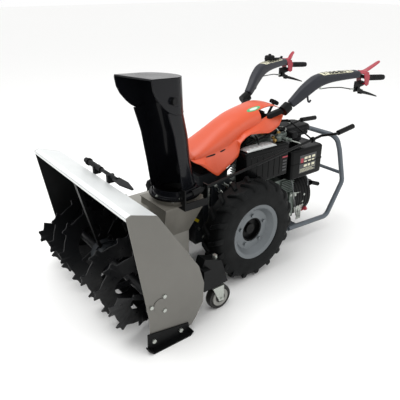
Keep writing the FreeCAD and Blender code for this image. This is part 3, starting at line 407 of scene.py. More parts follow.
def make_hood():
    """Orange cover: crowned body, a ledge with slots on each side shown as black insets of painted shade, and
    openings for the arms at the back.
    """
    y = np.unique(np.concatenate([np.linspace(-204, 372, 120), np.linspace(30, 52, 9)]))
    half = np.concatenate([np.linspace(0, 1, 25), np.linspace(1.02, 1.58, 10), np.linspace(1.6, 2, 6)])
    v = np.concatenate([-half[:0:-1], half])
    yy, vv = np.meshgrid(y, v, indexing="ij")
    points = hood_surface(yy, vv)
    faces = quads(len(y), len(v))
    centre_y = yy.reshape(-1)[faces].mean(1)
    centre_v = np.abs(vv.reshape(-1)[faces].mean(1))
    arm_gap = (centre_y > 214) & (centre_v > 0.52) & (centre_v < 0.97)
    tail = (centre_y > 345) & (centre_v > 0.9)
    shape = Shape().add(points, faces[~(arm_gap | tail)])
    piece("hood_shell", shape, orange_abs, "root", ["hood"], thick=3.0, sharp=50)
    # Black insets a little proud of the ledge: painted shade standing in for the dark inside the open vent
    # slots.
    slots = Shape()
    for low, high in ((-138, -82), (-54, -22)):
        a = np.linspace(0, 2 * np.pi, 28, endpoint=False)
        middle, reach = (low + high) / 2, (high - low) / 2
        outline_y = middle + reach * np.sign(np.cos(a)) * np.abs(np.cos(a)) ** 0.6
        outline_v = 1.05 + 0.035 * np.sin(a)
        ring = hood_surface(outline_y, outline_v)
        slots.rings(np.stack([ring + (-3.0, 0, -3.0), ring + (0.9, 0, 0.9)]))
    slots.mirrored()
    piece("hood_vent_slot_shade_insets", slots, soft_black, "root", sharp=30)


def make_badge():
    """Plain oval badge that follows the hood: white in the middle with a green rim."""
    a = np.linspace(0, 2 * np.pi, 40, endpoint=False)[None, :]
    middle_y, middle_v = 196.0, 0.34
    for name, outer, lift, colour in (("badge_rim", 1.0, 0.6, badge_green), ("badge_face", 0.6, 1.0,
                                                                             badge_white)):
        r = np.linspace(0, outer, 9)[1:, None]
        y = middle_y + 42 * r * np.cos(a)
        v = middle_v + 0.105 * r * np.sin(a) + 0.02 * r * np.cos(a)
        centre = hood_surface(np.array([middle_y]), np.array([middle_v]))
        rim = hood_surface(y, v)
        lifted = rim + (0.35 * lift, 0, lift)
        faces = quads(8, 40, False, True).tolist() + [[k, (k + 1) % 40, 8 * 40] for k in range(40)]
        points = np.concatenate([lifted.reshape(-1, 3), centre + (0.35 * lift, 0, lift)])
        piece(name, Shape().add(points, faces), colour, "root", thick=0.5)


# ---- discharge chute and its deflector ----
def in_chute(s, w, z):
    """Point given by its distance forward and sideways of the chute's axis, in the turned chute's
    directions."""
    c, k = math.cos(CHUTE_TURN), math.sin(CHUTE_TURN)
    s, w, z = np.broadcast_arrays(s, w, z)
    return np.stack([CHUTE_AXIS[0] + s * k + w * c, CHUTE_AXIS[1] - s * c + w * k, z], -1)


def make_chute():
    """Channel with a half-round back: at height z the sides run at w = -90 and 90 from the front edge to the
    middle of a half circle, whose middle moves forward as the chute leans."""
    z = np.concatenate([np.linspace(504, 560, 8), np.linspace(575, 895, 26)])
    front = np.interp(z, [504, 540, 650, 791, 895], [52, 60, 78, 106, 142])
    middle = np.interp(z, [504, 540, 650, 770, 830, 895], [0, 0, 34, 50, 66, 84])
    a = np.linspace(0, np.pi, 25)[None, :]
    sides = np.linspace(0, 1, 6)[None, :]
    walls = []
    for radius in (CHUTE_R, CHUTE_R - SHEET):
        near = middle[:, None] - radius * np.sin(a)
        run = front[:, None] + (middle - front)[:, None] * sides
        s = np.concatenate([run, near[:, 1:-1], run[:, ::-1]], 1)
        w = np.concatenate([np.full(run.shape, -radius), np.repeat(-radius * np.cos(a[:, 1:-1]), len(z), 0),
                            np.full(run.shape, radius)], 1)
        walls.append(in_chute(s, w, z[:, None]))
    shape = Shape().rings(np.concatenate([walls[0], walls[1][:, ::-1]], 1))
    for hand in (-1, 1):
        shape.rings(tube(in_chute(front[1:], hand * 88.7, z[1:]), 3.4, 10, (1, 0.2, 0)))
    piece("chute_channel", shape, gloss_black, "chute_body", ["chute"], sharp=45)
    base = Shape()
    middle_point = (CHUTE_AXIS[0], CHUTE_AXIS[1], 0)
    base.rings(spun([(94, 498), (115, 498), (116, 500), (116, 502.5), (114.5, 504), (101, 504), (98.5, 507),
                     (98, 527),
                     (99.5, 529), (99.5, 531.5), (97, 532.5), (94, 531)], middle_point, (0, 0, 1), 72),
               close=True)
    piece("chute_collar", base, gloss_black, "chute_body", sharp=35)
    heads = Shape()
    for k in range(6):
        turn = math.radians(60 * k + 38)
        spot = (CHUTE_AXIS[0] + 108 * math.cos(turn), CHUTE_AXIS[1] + 108 * math.sin(turn), 503)
        heads.rings(spun([(0.2, 5.6), (4.6, 5.6), (5.4, 5.0), (5.4, 1.2), (7.5, 1.2), (7.5, 0), (0.2, 0)],
                         spot,
                         (0, 0, 1), 6))
    piece("chute_ring_bolts", heads, zinc_bright, "chute_body", sharp=30)


DEFLECTOR_EDGE = np.array([(60, 878), (100, 882), (124, 893), (150, 908), (166, 920), (182, 934), (212, 966),
                           (229, 996), (234, 1020), (236, 1034)], float)


def deflector_outline(width):
    """The deflector seen from above, from its front left corner round the back to its front right corner:
    straight sides to s = 84 and a half circle behind them, as rows of (s, w)."""
    front = np.array([236, 235, 234, 231.5, 229, 224, 218, 212, 200, 190, 182, 174, 166, 158, 150, 137, 124,
                      112,
                      100, 92])
    a = np.linspace(0, np.pi, 33)
    back = np.stack([84 - width * np.sin(a), -width * np.cos(a)], -1)
    side = np.stack([front, np.full_like(front, -width)], -1)
    return np.concatenate([side, back, side[::-1] * (1, -1)])


def deflector_point(s, w, z):
    """The back of the deflector leans forward by 55 mm in a metre; the lean fades out towards the front."""
    return in_chute(s + 0.055 * (z - 896) * np.clip((DEFLECTOR_FRONT - s) / 152, 0, 1), w, z)


def make_deflector():
    """Hood round the channel's end: its walls run from a curved lower edge up to a sloping flat roof, and the
    free edges are hemmed."""
    outer, inner = deflector_outline(DEFLECTOR_R), deflector_outline(DEFLECTOR_R - SHEET)
    low = np.interp(outer[:, 0], DEFLECTOR_EDGE[:, 0], DEFLECTOR_EDGE[:, 1])
    high = DEFLECTOR_TOP - (DEFLECTOR_FRONT - outer[:, 0]) * 0.09
    v = np.linspace(0, 1, 9)[None, :]
    level = low[:, None] + (high - low)[:, None] * v
    outside = deflector_point(outer[:, :1], outer[:, 1:], level)
    inside = deflector_point(inner[:, :1], inner[:, 1:], np.minimum(level, high[:, None] - 1.5))
    shape = Shape().rings(np.concatenate([outside, inside[:, ::-1]], 1))
    half = len(outer) // 2 + 1
    s, w, z = outer[:half, :1], -outer[:half, 1:], high[:half, None]
    roof = deflector_point(s, np.concatenate([-w, w, w, -w], 1), z + np.array([[0.0, 0.0, -SHEET, -SHEET]]))
    shape.rings(roof[:-1])
    piece("deflector_hood", shape, gloss_black, "deflector_body", ["deflector"], sharp=30)
    hems = Shape()
    line = deflector_outline(DEFLECTOR_R - SHEET / 2)
    line = line[line[:, 1] <= 0]
    z = np.interp(line[:, 0], DEFLECTOR_EDGE[:, 0], DEFLECTOR_EDGE[:, 1])
    for hand in (-1, 1):
        hems.rings(tube(deflector_point(line[:, 0], hand * line[:, 1], z), 2.6, 10, (0, 0, 1)))
    hems.rings(tube(in_chute(np.full(12, 234.5), np.linspace(-92, 92, 12), 1036.4), 3.2, 10))
    piece("deflector_hems", hems, gloss_black, "deflector_body", sharp=45)
    guide = Shape()
    path = eased([(136, 950), (124, 930), (104, 916), (84, 914)], 30)
    for hand in (-1, 1):
        guide.rings(tube(in_chute(path[:, 0], hand * 94.0, path[:, 1]), 1.6, 8, (1, 0.2, 0)))
    piece("deflector_guide_ribs", guide, gloss_black, "deflector_body")


# ---- auger ----
def helix_ribbon(start, turns, teeth=8):
    """Flat ribbon on a helix: x grows by one pitch a turn, and its outer edge jumps between 159 mm and the
    185 mm tips of square teeth whose ends are hollowed.  tooth holds rows of (part of a tooth, outer
    radius)."""
    tooth = np.array([[-0.5, 159], [-0.27, 159], [-0.2, 162], [-0.185, 184.5], [-0.12, 185], [-0.07, 180],
                      [0.0, 177.5], [0.07, 180], [0.12, 185], [0.185, 184.5], [0.2, 162], [0.27, 159]])
    count = int(turns * teeth)
    cell = np.arange(count)[:, None]
    turn = ((cell + 1 + tooth[None, :, 0]) / teeth).reshape(-1)
    outer = np.tile(tooth[:, 1], count)
    inner = np.full_like(outer, 86.0)
    a = 2 * np.pi * turn + math.radians(start)
    ring_r = np.stack([inner, outer - 2, outer, outer, outer - 2, inner], 1)
    ring_x = np.array([3.0, 3.0, 1.8, -1.8, -3.0, -3.0])[None, :] + (FLIGHT_X + FLIGHT_PITCH * turn)[:, None]
    return np.stack([ring_x, AUGER[0] + ring_r * np.sin(a)[:, None], AUGER[1] - ring_r * np.cos(a)[:, None]],
                    -1)


def make_auger():
    """Four serrated ribbons, two on each side of the gearbox, on spokes welded to the shaft's sleeves."""
    shape = Shape()
    for start in (225, 45):
        shape.rings(helix_ribbon(start, 1.25))
        for turn in (0.06, 0.62, 1.2):
            a = 2 * np.pi * turn + math.radians(start)
            out = np.array([0, math.sin(a), -math.cos(a)])
            flat = np.array([0, math.cos(a), math.sin(a)])
            foot = np.array([FLIGHT_X + FLIGHT_PITCH * turn, *AUGER])
            corners = [out * 18 - flat * 14, out * 92 - flat * 11, out * 92 + flat * 11, out * 18 + flat * 14]
            shape.slab(foot + np.array(corners) - (2.5, 0, 0), (5, 0, 0))
    shape.mirrored()
    for low, high in ((-412, -60), (60, 412)):
        shape.rings(spun([(16.2, low), (21, low), (21, high), (16.2, high)], (0, *AUGER), (1, 0, 0), 32),
                    close=True)
    piece("auger_flights_serrated", shape, auger_paint, "auger", ["auger_flights"], bevel=0.8,
          sharp=30)


# ---- tyres ----
TYRE_SECTION = [(127.5, 46), (136, 48), (141.5, 54), (142, 60), (150, 63.5), (172, 65.2), (196, 65.4),
                (216, 62.5),
                (228, 57), (238, 48), (241.5, 38), (243, 20), (243.6, 0)]


def make_tyre(hand, body, replaced):
    """Bulged carcass with ribs on its walls, and bars that run from the middle of the tread over the
    shoulder."""
    line = eased(TYRE_SECTION, 64)
    line[:, 1] += 0.5 * np.exp(-((line[:, 0] - 164) / 1.6) ** 2) + 0.7 * np.exp(-((line[:,
                                                                                        0] - 205) / 2.0) ** 2)
    outer = np.concatenate([line, line[-2::-1] * (1, -1)])
    hidden = [(127.5, -40), (150, -52), (224, -50), (236, -30), (236, 30), (224, 50), (150, 52), (127.5, 40)]
    shape = Shape()
    shape.rings(spun(np.concatenate([outer, hidden]), (TYRE_X, 0, TYRE_R), (1, 0, 0), 120), close=True)
    u = np.linspace(0, 1, 10)[:, None]
    across_bar = np.array([-1.0, -0.9, -0.62, -0.3, 0.3, 0.62, 0.9, 1.0])[None, :]
    rise = np.array([0.0, 0.55, 0.96, 1.0, 1.0, 0.96, 0.55, 0.0])[None, :]
    for k in range(LUGS):
        for out in (1, -1):
            x = -3 + 66.5 * np.minimum(u * 1.12, 1) + 0 * rise
            height = np.interp(u, [0, 0.1, 0.72, 0.86, 1.0], [9, 14.9, 14.9, 11, 0]) + 0 * rise
            ground = np.interp(u, [0, 0.35, 0.72, 0.86, 1.0], [243, 242.6, 240, 229, 211]) + 0 * rise
            r = ground - 3 + (height + 3) * rise
            sweep = (11 + 33 * u + 9 * u ** 2) + across_bar * (11.5 + 5.5 * u)
            angle = sweep / 243 + 2 * np.pi * (k + 0.25 * out) / LUGS
            shape.rings(np.stack([TYRE_X + out * x, r * np.sin(angle), TYRE_R + r * np.cos(angle)], -1))
    shape.points = [p * (hand, 1, 1) for p in shape.points]
    side = "left" if hand > 0 else "right"
    piece("tyre_carcass_" + side, shape, tyre_rubber, body, [replaced], sharp=42)


# ---- arms ----
ARM_LINE = [(158, 352, 800), (170, 388, 832), (184, 424, 866), (200, 474, 902), (213, 522, 917),
            (226, 574, 922),
            (244, 648, 925), (262, 724, 926)]
ARM_WIDE = [19, 22, 25.5, 29, 31, 31.5, 31.5, 31]
ARM_TALL = [20, 26, 31, 32, 28, 23.5, 21, 19]


def arm_surface(t, a, lift=0.0):
    """Superellipse section of exponent 3.4 carried along the arm: half sizes grow to the bend and shrink in
    height behind it; t runs along the arm and a round the section."""
    path = eased(ARM_LINE, 200)
    side, top = across(path)
    top *= np.sign(top[:, 2:])
    at = np.clip(t, 0, 1) * 199
    pick = lambda table: np.stack([np.interp(at, np.arange(200), table[:, k]) for k in range(3)], -1)
    size = lambda values: np.interp(np.clip(t, 0, 1) * 7, np.arange(8), values) + lift
    c, s = np.cos(a), np.sin(a)
    e = 2 / 3.4
    x = (size(ARM_WIDE) * np.sign(c) * np.abs(c) ** e)[..., None]
    z = (size(ARM_TALL) * np.sign(s) * np.abs(s) ** e)[..., None]
    return pick(path) + x * unit(pick(side)) + z * unit(pick(top))


def make_arm_covers():
    """Charcoal covers with a hook under the bend, and on their flat tops a cream label with bars and dots."""
    t = np.concatenate([[0, 0, 0.004], np.linspace(0.02, 0.98, 60), [0.996, 1.0, 1.0]])
    shrink = np.concatenate([[-12, -4, -1], np.zeros(60), [-1.2, -4, -14]])
    a = np.linspace(0, 2 * np.pi, 48, endpoint=False)
    tt, aa = np.meshgrid(t, a, indexing="ij")
    shell = Shape().rings(arm_surface(tt, aa, shrink[:, None]))
    hook = [(200, 426, 838), (200, 430, 822), (200, 436, 810), (200, 446, 808), (200, 452, 816)]
    shell.rings(tube(eased(hook, 16), 5.0, 12, (1, 0, 0)))
    shell.mirrored()
    piece("arm_cover_shells", shell, cover_grey, "handlebar", ["arm_covers"], sharp=60)
    label = Shape()
    t, a = np.linspace(0.52, 0.92, 34), np.linspace(math.radians(42), math.radians(138), 18)
    tt, aa = np.meshgrid(t, a, indexing="ij")
    corner = 0.03 * np.maximum(0, np.abs(aa - np.pi / 2) / math.radians(48) - 0.75) / 0.25
    tt = np.clip(tt, 0.52 + corner, 0.92 - corner)
    label.add(arm_surface(tt, aa, 0.7), quads(34, 18))
    label.mirrored()
    piece("arm_labels", label, cream_label, "handlebar", thick=0.6)
    marks = Shape()
    for t0, t1, a0, a1 in ((0.62, 0.84, 50, 130), (0.55, 0.565, 56, 124), (0.58, 0.587, 56, 124),
                           (0.87, 0.877, 56, 124), (0.89, 0.897, 56, 124)):
        tt, aa = np.meshgrid(np.linspace(t0, t1, 6), np.radians(np.linspace(a0, a1, 8)), indexing="ij")
        marks.add(arm_surface(tt, aa, 1.3), quads(6, 8))
    marks.mirrored()
    piece("arm_label_marks", marks, soft_black, "handlebar", thick=0.3)
    dots = Shape()
    for t0 in (0.645, 0.70, 0.755, 0.81):
        for a0 in (62, 90, 118):
            r, turn = np.linspace(0, 1, 4)[1:, None], np.linspace(0, 2 * np.pi, 16, endpoint=False)[None, :]
            ring = arm_surface(t0 + 0.010 * r * np.cos(turn), np.radians(a0 + 7 * r * np.sin(turn)), 1.7)
            hub = arm_surface(np.array([t0]), np.radians(np.array([float(a0)])), 1.7)
            faces = quads(3, 16, False, True).tolist() + [[k, (k + 1) % 16, 48] for k in range(16)]
            dots.add(np.concatenate([ring.reshape(-1, 3), hub.reshape(1, 3)]), faces)
    dots.mirrored()
    piece("arm_label_dots", dots, cream_label, "handlebar", thick=0.3)


def make_grips():
    """Ribbed rubber grips: the radius is 14.2 mm and a clipped sine of 1 mm every 5 mm, with a flange in
    front."""
    length = np.linalg.norm(GRIP_END - GRIP_START)
    h = np.linspace(4, length + 1.5, 130)
    r = 14.2 + 1.0 * np.clip(np.sin(2 * np.pi * h / 5.0) * 2, -1, 1) * (h > 18) * (h < length - 12)
    r = np.where(h < 9, 15.0, r)
    profile = np.concatenate([[(10.2, 4)], np.stack([r, h], -1), [(11, length + 2.8), (3, length + 3)]])
    shape = Shape().rings(spun(profile, GRIP_START, GRIP_END - GRIP_START, 36))
    shape.mirrored()
    piece("grip_sleeves", shape, grip_rubber, "handlebar", ["grips"], sharp=60)


# ---- engine and small parts ----
def rounded_block(low, high, corner, edge, bead=0.0, level=0.5):
    """Rings of a rounded rectangle stacked in Z: the outline has round corners, its size drops by
    edge (1 - sin) towards the top and bottom, and an optional bead stands out round it at one level."""
    low, high = np.asarray(low, float), np.asarray(high, float)
    middle, half = (low + high) / 2, (high - low) / 2
    a = np.linspace(0, np.pi / 2, 7)
    lower = np.stack([edge * (1 - np.sin(a)), low[2] + edge * (1 - np.cos(a))], -1)
    upper = np.stack([edge * (1 - np.cos(a)), high[2] - edge * (1 - np.sin(a))], -1)
    rows = [lower]
    if bead:
        at = low[2] + level * (high[2] - low[2])
        rows.append(np.array([[0, at - 4], [-bead, at - 3], [-bead, at + 3], [0, at + 4]]))
    rows = np.concatenate(rows + [upper])
    turns = np.concatenate([a + k * np.pi / 2 for k in range(4)])
    signs = np.repeat([[1, 1], [-1, 1], [-1, -1], [1, -1]], 7, axis=0)
    inner = signs * (half[:2] - corner)
    ring = inner + corner * np.stack([np.cos(turns), np.sin(turns)], -1)
    scale = 1 - rows[:, 0][:, None, None] / half[:2][None, None, :]
    xy = middle[:2] + ring[None] * scale
    z = np.broadcast_to(rows[:, 1][:, None, None], xy.shape[:2] + (1,))
    return np.concatenate([xy, z], -1)


def hex_head(spot, axis, radius=8.0, height=5.5):
    """Hexagon head with a washer face under it and a chamfered crown."""
    return spun([(0.2, height), (radius * 0.8, height), (radius, height - 1), (radius, 1.4), (radius * 1.35,
                                                                                              1.4),
                 (radius * 1.35, 0), (0.2, 0)], spot, axis, 6)


def coil(start, end, radius, turns, wire):
    """Helix about the line from start to end."""
    start, end = np.asarray(start, float), np.asarray(end, float)
    axis = unit(end - start)
    u = unit(np.cross(axis, (0.3, 0.9, 0.31)))
    v = np.cross(axis, u)
    t = np.linspace(0, 1, int(turns * 14))[:, None]
    a = 2 * np.pi * turns * t
    return tube(start + (end - start) * t + radius * (np.cos(a) * u + np.sin(a) * v), wire, 8, axis)


def make_tank():
    """Pressed fuel tank with a welded seam, a plain data panel on its left face and a filler."""
    shape = Shape().rings(rounded_block((-148, 374, 380), (178, 630, 546), 20, 14, 2.2, 0.52))
    shape.rings(spun([(0.3, 544), (27, 544), (27, 556), (25, 558), (25, 561.5), (0.3, 561.5)], (60, 520, 0),
                     (0, 0, 1),
                     40))
    piece("fuel_tank_shell", shape, tank_enamel, "root", ["fuel_tank"], sharp=35)
    panel = Shape().slab([(178.4, 440, 410), (178.4, 572, 410), (178.4, 572, 512), (178.4, 440, 512)],
                         (0.9, 0, 0))
    piece("tank_panel", panel, dark_label, "root", bevel=0.3)
    lines = Shape()
    for row in range(3):
        for col in range(3):
            y, z = 476 + 31 * col, 486 - 22 * row
            lines.slab([(179.2, y, z), (179.2, y + 24 - 5 * ((row + col) % 2), z),
                        (179.2, y + 24 - 5 * ((row + col) % 2), z + 13), (179.2, y, z + 13)], (0.4, 0, 0))
    for row in range(4):
        z = 416 + 5.5 * row
        lines.slab([(179.2, 446, z), (179.2, 566 - 12 * (row % 3), z), (179.2, 566 - 12 * (row % 3), z + 1.8),
                    (179.2, 446, z + 1.8)], (0.4, 0, 0))
    piece("tank_panel_blocks", lines, cream_label, "root")
    square = Shape().slab([(179.2, 447, 465), (179.2, 469, 465), (179.2, 469, 495), (179.2, 447, 495)],
                          (0.5, 0, 0))
    square.slab([(177.2, 303, 530), (177.2, 340, 530), (177.2, 340, 538), (177.2, 303, 538)], (0.6, 0, 0))
    piece("red_label_blocks", square, red_nylon, "root")


def make_side_box():
    """Black moulded box beside the cylinder with a lid line, ribs on its left face and a small plain
    sticker."""
    shape = Shape().rings(rounded_block((97, 49, 431), (175, 349, 604), 10, 8, 1.6, 0.86))
    for y in (84, 124, 164, 204, 244, 284):
        shape.slab([(173, y, 446), (173, y + 5, 446), (176.6, y + 4, 447), (176.6, y + 1, 447)], (0, 0, 118))
    piece("side_box_shell", shape, tank_enamel, "root", ["battery_box"], sharp=35)
    sticker = Shape()
    for row in range(4):
        z = 508 - 17 * row
        sticker.slab([(176.0, 308, z), (176.0, 336, z), (176.0, 336, z + 9), (176.0, 308, z + 9)],
                     (0.6, 0, 0))
    piece("side_box_sticker", sticker, dark_label, "root")


def make_air_cleaner():
    """Cleaner cover: a low rounded lid over a shallow bowl, with a wing nut."""
    shape = Shape().rings(rounded_block((-38, 398, 612), (108, 598, 649), 34, 15, 2.0, 0.3))
    shape.rings(rounded_block((-32, 404, 594), (102, 592, 613), 30, 4))
    piece("air_cleaner_lid", shape, soft_black, "root", ["air_cleaner"], sharp=35)
    nut = Shape().rings(spun([(0.3, 657), (5, 657), (7, 654), (7, 648.6), (0.3, 648.6)], (35, 498, 0),
                             (0, 0, 1), 12))
    nut.block((18, 496, 650), (52, 500, 656))
    piece("cleaner_wing_nut", nut, zinc_bright, "root", bevel=0.6)


def make_engine_top():
    """Heat shield, injection pump, pipes and unions between the hood, the box and the cleaner."""
    y, x = np.meshgrid(np.linspace(62, 262, 40), np.linspace(110, 172, 18), indexing="ij")
    p, q = (y - 162) / 100, (x - 141) / 31
    dome = 607 + 15 * np.maximum(1 - np.abs(p) ** 4, 0) ** 0.5 * np.maximum(1 - np.abs(q) ** 4, 0) ** 0.5
    dome = dome + 1.6 * np.sin(y * 0.22) * (np.abs(q) < 0.75)
    shield = Shape().add(np.stack([x, y, dome], -1), quads(40, 18))
    piece("heat_shield", shield, brushed_shield, "root", thick=1.2)
    alloy = Shape()
    alloy.rings(spun([(0.3, 606), (19, 606), (21, 609), (21, 628), (17, 634), (10, 636), (10, 648),
                      (0.3, 649)],
                     (118, 322, 0), (0, 0, 1), 28))
    alloy.rings(spun([(0.3, -22), (13, -22), (15, -19), (15, 19), (13, 22), (0.3, 22)], (92, 380, 622),
                     (0.2, 1, 0.1),
                     24))
    alloy.rings(rounded_block((62, 346, 600), (112, 392, 622), 8, 5))
    alloy.rings(spun([(0.3, -30), (9, -30), (9, -10), (12, -8), (12, 8), (9, 10), (9, 30), (0.3, 30)],
                     (140, 360, 612),
                     (1, 0.3, 0), 20))
    alloy.rings(rounded_block((-60, 210, 612), (64, 330, 628), 14, 6))
    piece("injection_castings", alloy, alloy_cast, "root", sharp=30)
    pipes = Shape()
    for route in ([(118, 322, 646), (112, 316, 668), (86, 300, 668), (52, 286, 646), (40, 280, 626)],
                  [(92, 392, 630), (88, 410, 648), (60, 404, 652), (24, 380, 640), (10, 330, 628)],
                  [(150, 366, 612), (176, 380, 606), (182, 420, 590), (168, 450, 566), (150, 470, 548)]):
        pipes.rings(tube(eased(route, 40), 3.0, 10, (0.1, 0.2, 1)))
    piece("fuel_pipes", pipes, zinc_bright, "root")
    brass = Shape()
    for spot, axis in (((104, 300, 622), (0.3, -0.5, 1)), ((118, 322, 648), (0, 0, 1)), ((40, 282, 628),
                                                                                         (0, 0, 1)),
                       ((124, 290, 614), (1, 0, 0.4))):
        brass.rings(hex_head(spot, axis, 8.5, 10))
    piece("brass_unions", brass, brass_metal, "root", sharp=30)
    black = Shape()
    for route, r in (([(-30, 262, 700), (-46, 300, 692), (-52, 360, 676), (-30, 410, 652), (4, 430, 630)],
                      3.4),
                     ([(30, 250, 700), (58, 300, 690), (84, 350, 668), (98, 388, 640), (96, 400, 622)], 3.0),
                     ([(104, 70, 600), (120, 40, 590), (128, 10, 560), (118, -30, 520), (96, -70, 480)], 5.0),
                     ([(60, 210, 640), (96, 190, 640), (128, 170, 632), (150, 150, 612), (158, 130, 600)],
                      4.0)):
        black.rings(tube(eased(route, 48), r, 10, (0.1, 0.2, 1)))
    black.rings(rounded_block((112, 398, 606), (150, 440, 640), 8, 5))
    black.rings(rounded_block((-20, 300, 628), (58, 372, 664), 12, 8))
    piece("engine_hoses", black, soft_black, "root", sharp=40)


def make_engine_side():
    """Covers, bolts, plate, dipstick and red oil cap on the engine's left side, and ribs on the starter
    cover."""
    covers = Shape()
    for x in (1, -1):
        covers.rings(spun([(0.3, 130), (44, 130), (52, 127), (54, 119), (0.3, 119)], (0, 300, 236),
                          (x, 0, 0), 40))
        covers.rings(spun([(0.3, 134), (26, 134), (30, 131), (30, 119), (0.3, 119)], (0, 398, 196),
                          (x, 0, 0), 32))
    for k in range(7):
        z = 292 + 11 * k
        covers.block((118, 362, z), (133, 464, z + 4.5))
    covers.block((118, 430, 130), (137, 466, 284))
    covers.block((118, 250, 128), (126, 420, 150))
    piece("crankcase_covers", covers, alloy_cast, "root", bevel=1.6, sharp=30)
    plate = Shape().slab([(137, 452, 286), (137, 470, 276), (137, 560, 262), (137, 566, 234), (137, 544, 150),
                          (137, 498, 138), (137, 478, 150), (137, 462, 236)], (3.0, 0, 0))
    plate.block((136, 500, 96), (140, 536, 150))
    piece("bracket_plate", plate, zinc_bright, "root", bevel=0.8, sharp=30)
    heads = Shape()
    for y, z in ((472, 262), (548, 246), (512, 156), (536, 206), (440, 146), (440, 268), (256, 139),
                 (410, 139)):
        heads.rings(hex_head((140 if y > 460 else 137 if y > 430 else 126, y, z), (1, 0, 0)))
    for k in range(6):
        turn = math.radians(60 * k + 10)
        heads.rings(hex_head((130, 300 + 44 * math.cos(turn), 236 + 44 * math.sin(turn)), (1, 0, 0), 5, 4))
    piece("engine_bolts", heads, zinc_bright, "root", sharp=30)
    cap = Shape().rings(spun([(0.3, 20), (9, 20), (12, 16), (12, 4), (7, 2), (7, -24), (0.3, -24)],
                             (142, 556, 150),
                             (0.7, 0.5, 0.5), 10))
    piece("oil_cap", cap, red_nylon, "root", sharp=30)
    rod = Shape().rings(tube(eased([(146, 566, 300), (150, 556, 340), (148, 540, 366), (140, 520, 378)], 24),
                             3.0, 10))
    rod.rings(tube(eased([(146, 486, 130), (148, 470, 200), (146, 446, 300), (138, 430, 370)], 24), 2.2, 10))
    rod.rings(tube(eased([(142, 420, 96), (146, 400, 160), (142, 380, 240), (134, 372, 290)], 24), 4.0, 10))
    piece("engine_rods", rod, steel_bare, "root")
    ribs = Shape()
    for k in range(36):
        a = 2 * np.pi * k / 36
        out, flat = np.array([math.cos(a), 0, math.sin(a)]), np.array([-math.sin(a), 0, math.cos(a)])
        foot = np.array([0, 601.2, 226.0]) + out * 100
        corners = [foot - flat * 2.6, foot + flat * 2.6, foot + out * 38 + flat * 3.6,
                   foot + out * 38 - flat * 3.6]
        ribs.slab(np.array(corners) - (0, 2.5, 0), (0, 4.5, 0))
    for k in range(5):
        y = 486 + 22 * k
        ribs.rings(spun([(145.4, y), (148.2, y + 1), (148.2, y + 4), (145.4, y + 5)], (0, 0, 226), (0, 1, 0),
                        96),
                   close=True)
    piece("starter_cover_ribs", ribs, soft_black, "root", bevel=0.5, sharp=30)


def make_linkage():
    """Springs, clevis plates, rods and bolts on the left of the gearbox, a yellow tag and a zinc pin."""
    springs = Shape()
    springs.rings(coil((146, -96, 446), (150, -44, 372), 8.5, 9, 1.7))
    springs.rings(coil((132, -60, 468), (138, -14, 430), 7.5, 7, 1.6))
    springs.rings(tube([(146, -112, 470), (146, -96, 446)], 2.0, 8))
    springs.rings(tube([(150, -44, 372), (150, -32, 356)], 2.0, 8))
    springs.rings(tube(eased([(140, -152, 472), (140, -152, 430), (139, -151, 372), (136, -140, 330)], 16),
                       3.4, 10,
                       (1, 0, 0)))
    springs.rings(tube([(96, -206, 262), (136, -206, 262)], 6.5, 14))
    for spot in ((150, -120, 476), (150, -32, 352), (148, -76, 402), (146, -20, 462), (134, -170, 420),
                 (134, -196, 380), (134, -120, 300), (134, -180, 210), (134, -60, 210)):
        springs.rings(hex_head(spot, (1, 0, 0), 7.0, 6))
    piece("linkage_springs", springs, zinc_bright, "root", sharp=30)
    plates = Shape()
    plates.slab([(140, -132, 492), (140, -104, 486), (140, -66, 414), (140, -62, 386), (140, -82, 386),
                 (140, -118, 452)], (5, 0, 0))
    plates.slab([(142, -46, 366), (142, -16, 372), (142, -8, 470), (142, -26, 476), (142, -34, 430)],
                (4, 0, 0))
    plates.slab([(128, -186, 434), (128, -152, 428), (128, -150, 300), (128, -176, 296)], (6, 0, 0))
    plates.slab([(118, -120, 480), (118, -10, 480), (118, 0, 330), (118, -60, 300), (118, -120, 330)],
                (10, 0, 0))
    piece("linkage_plates", plates, cast_grey, "root", bevel=1.2, sharp=30)
    tag = Shape().slab([(134.5, -246, 326), (134.5, -214, 300), (134.5, -206, 312), (134.5, -238, 338)],
                       (1.4, 0, 0))
    piece("yellow_tag", tag, yellow_vinyl, "root", bevel=0.3)


def make_handle_details():
    """Star knob of the height lock, switch box on the right arm and small collars at the arms' feet."""
    a = np.linspace(0, 2 * np.pi, 96, endpoint=False)
    lobe = 22 + 4.5 * np.tanh(2.5 * np.cos(9 * a))
    rings = []
    for height, scale in ((-9, 0.80), (-7.5, 0.97), (-5, 1.0), (5, 1.0), (8.5, 0.9), (10, 0.7)):
        rings.append(np.stack([lobe * scale * np.cos(a), lobe * scale * np.sin(a), np.full(96, height)], -1))
    tilt = np.array(Matrix.Rotation(math.radians(-32), 3, "X"))
    knob = Shape().rings(np.array(rings) @ tilt.T + (0, 398, 776))
    knob.rings(tube([(0, 340, 692), (0, 394, 770)], 7, 14, (1, 0, 0)))
    piece("height_lock_knob", knob, soft_black, "root", sharp=40)
    box = Shape().rings(rounded_block((-270, 572, 938), (-226, 620, 974), 10, 8, 1.2, 0.5))
    box.rings(tube([(-248, 596, 972), (-248, 596, 981)], 8, 20, (1, 0, 0)))
    box.rings(tube([(-264, 600, 950), (-276, 640, 944)], 4, 16))
    piece("switch_box", box, soft_black, "handlebar", sharp=35)
    ends = Shape()
    for start, end in (((262, 680, 852.6), (267.5, 712, 850)), ((206, 480, 880), (214, 512, 867.4))):
        ends.rings(tube([start, end], 4.2, 14))
    ends.mirrored()
    piece("brake_cable_ferrules", ends, zinc_bright, "handlebar")


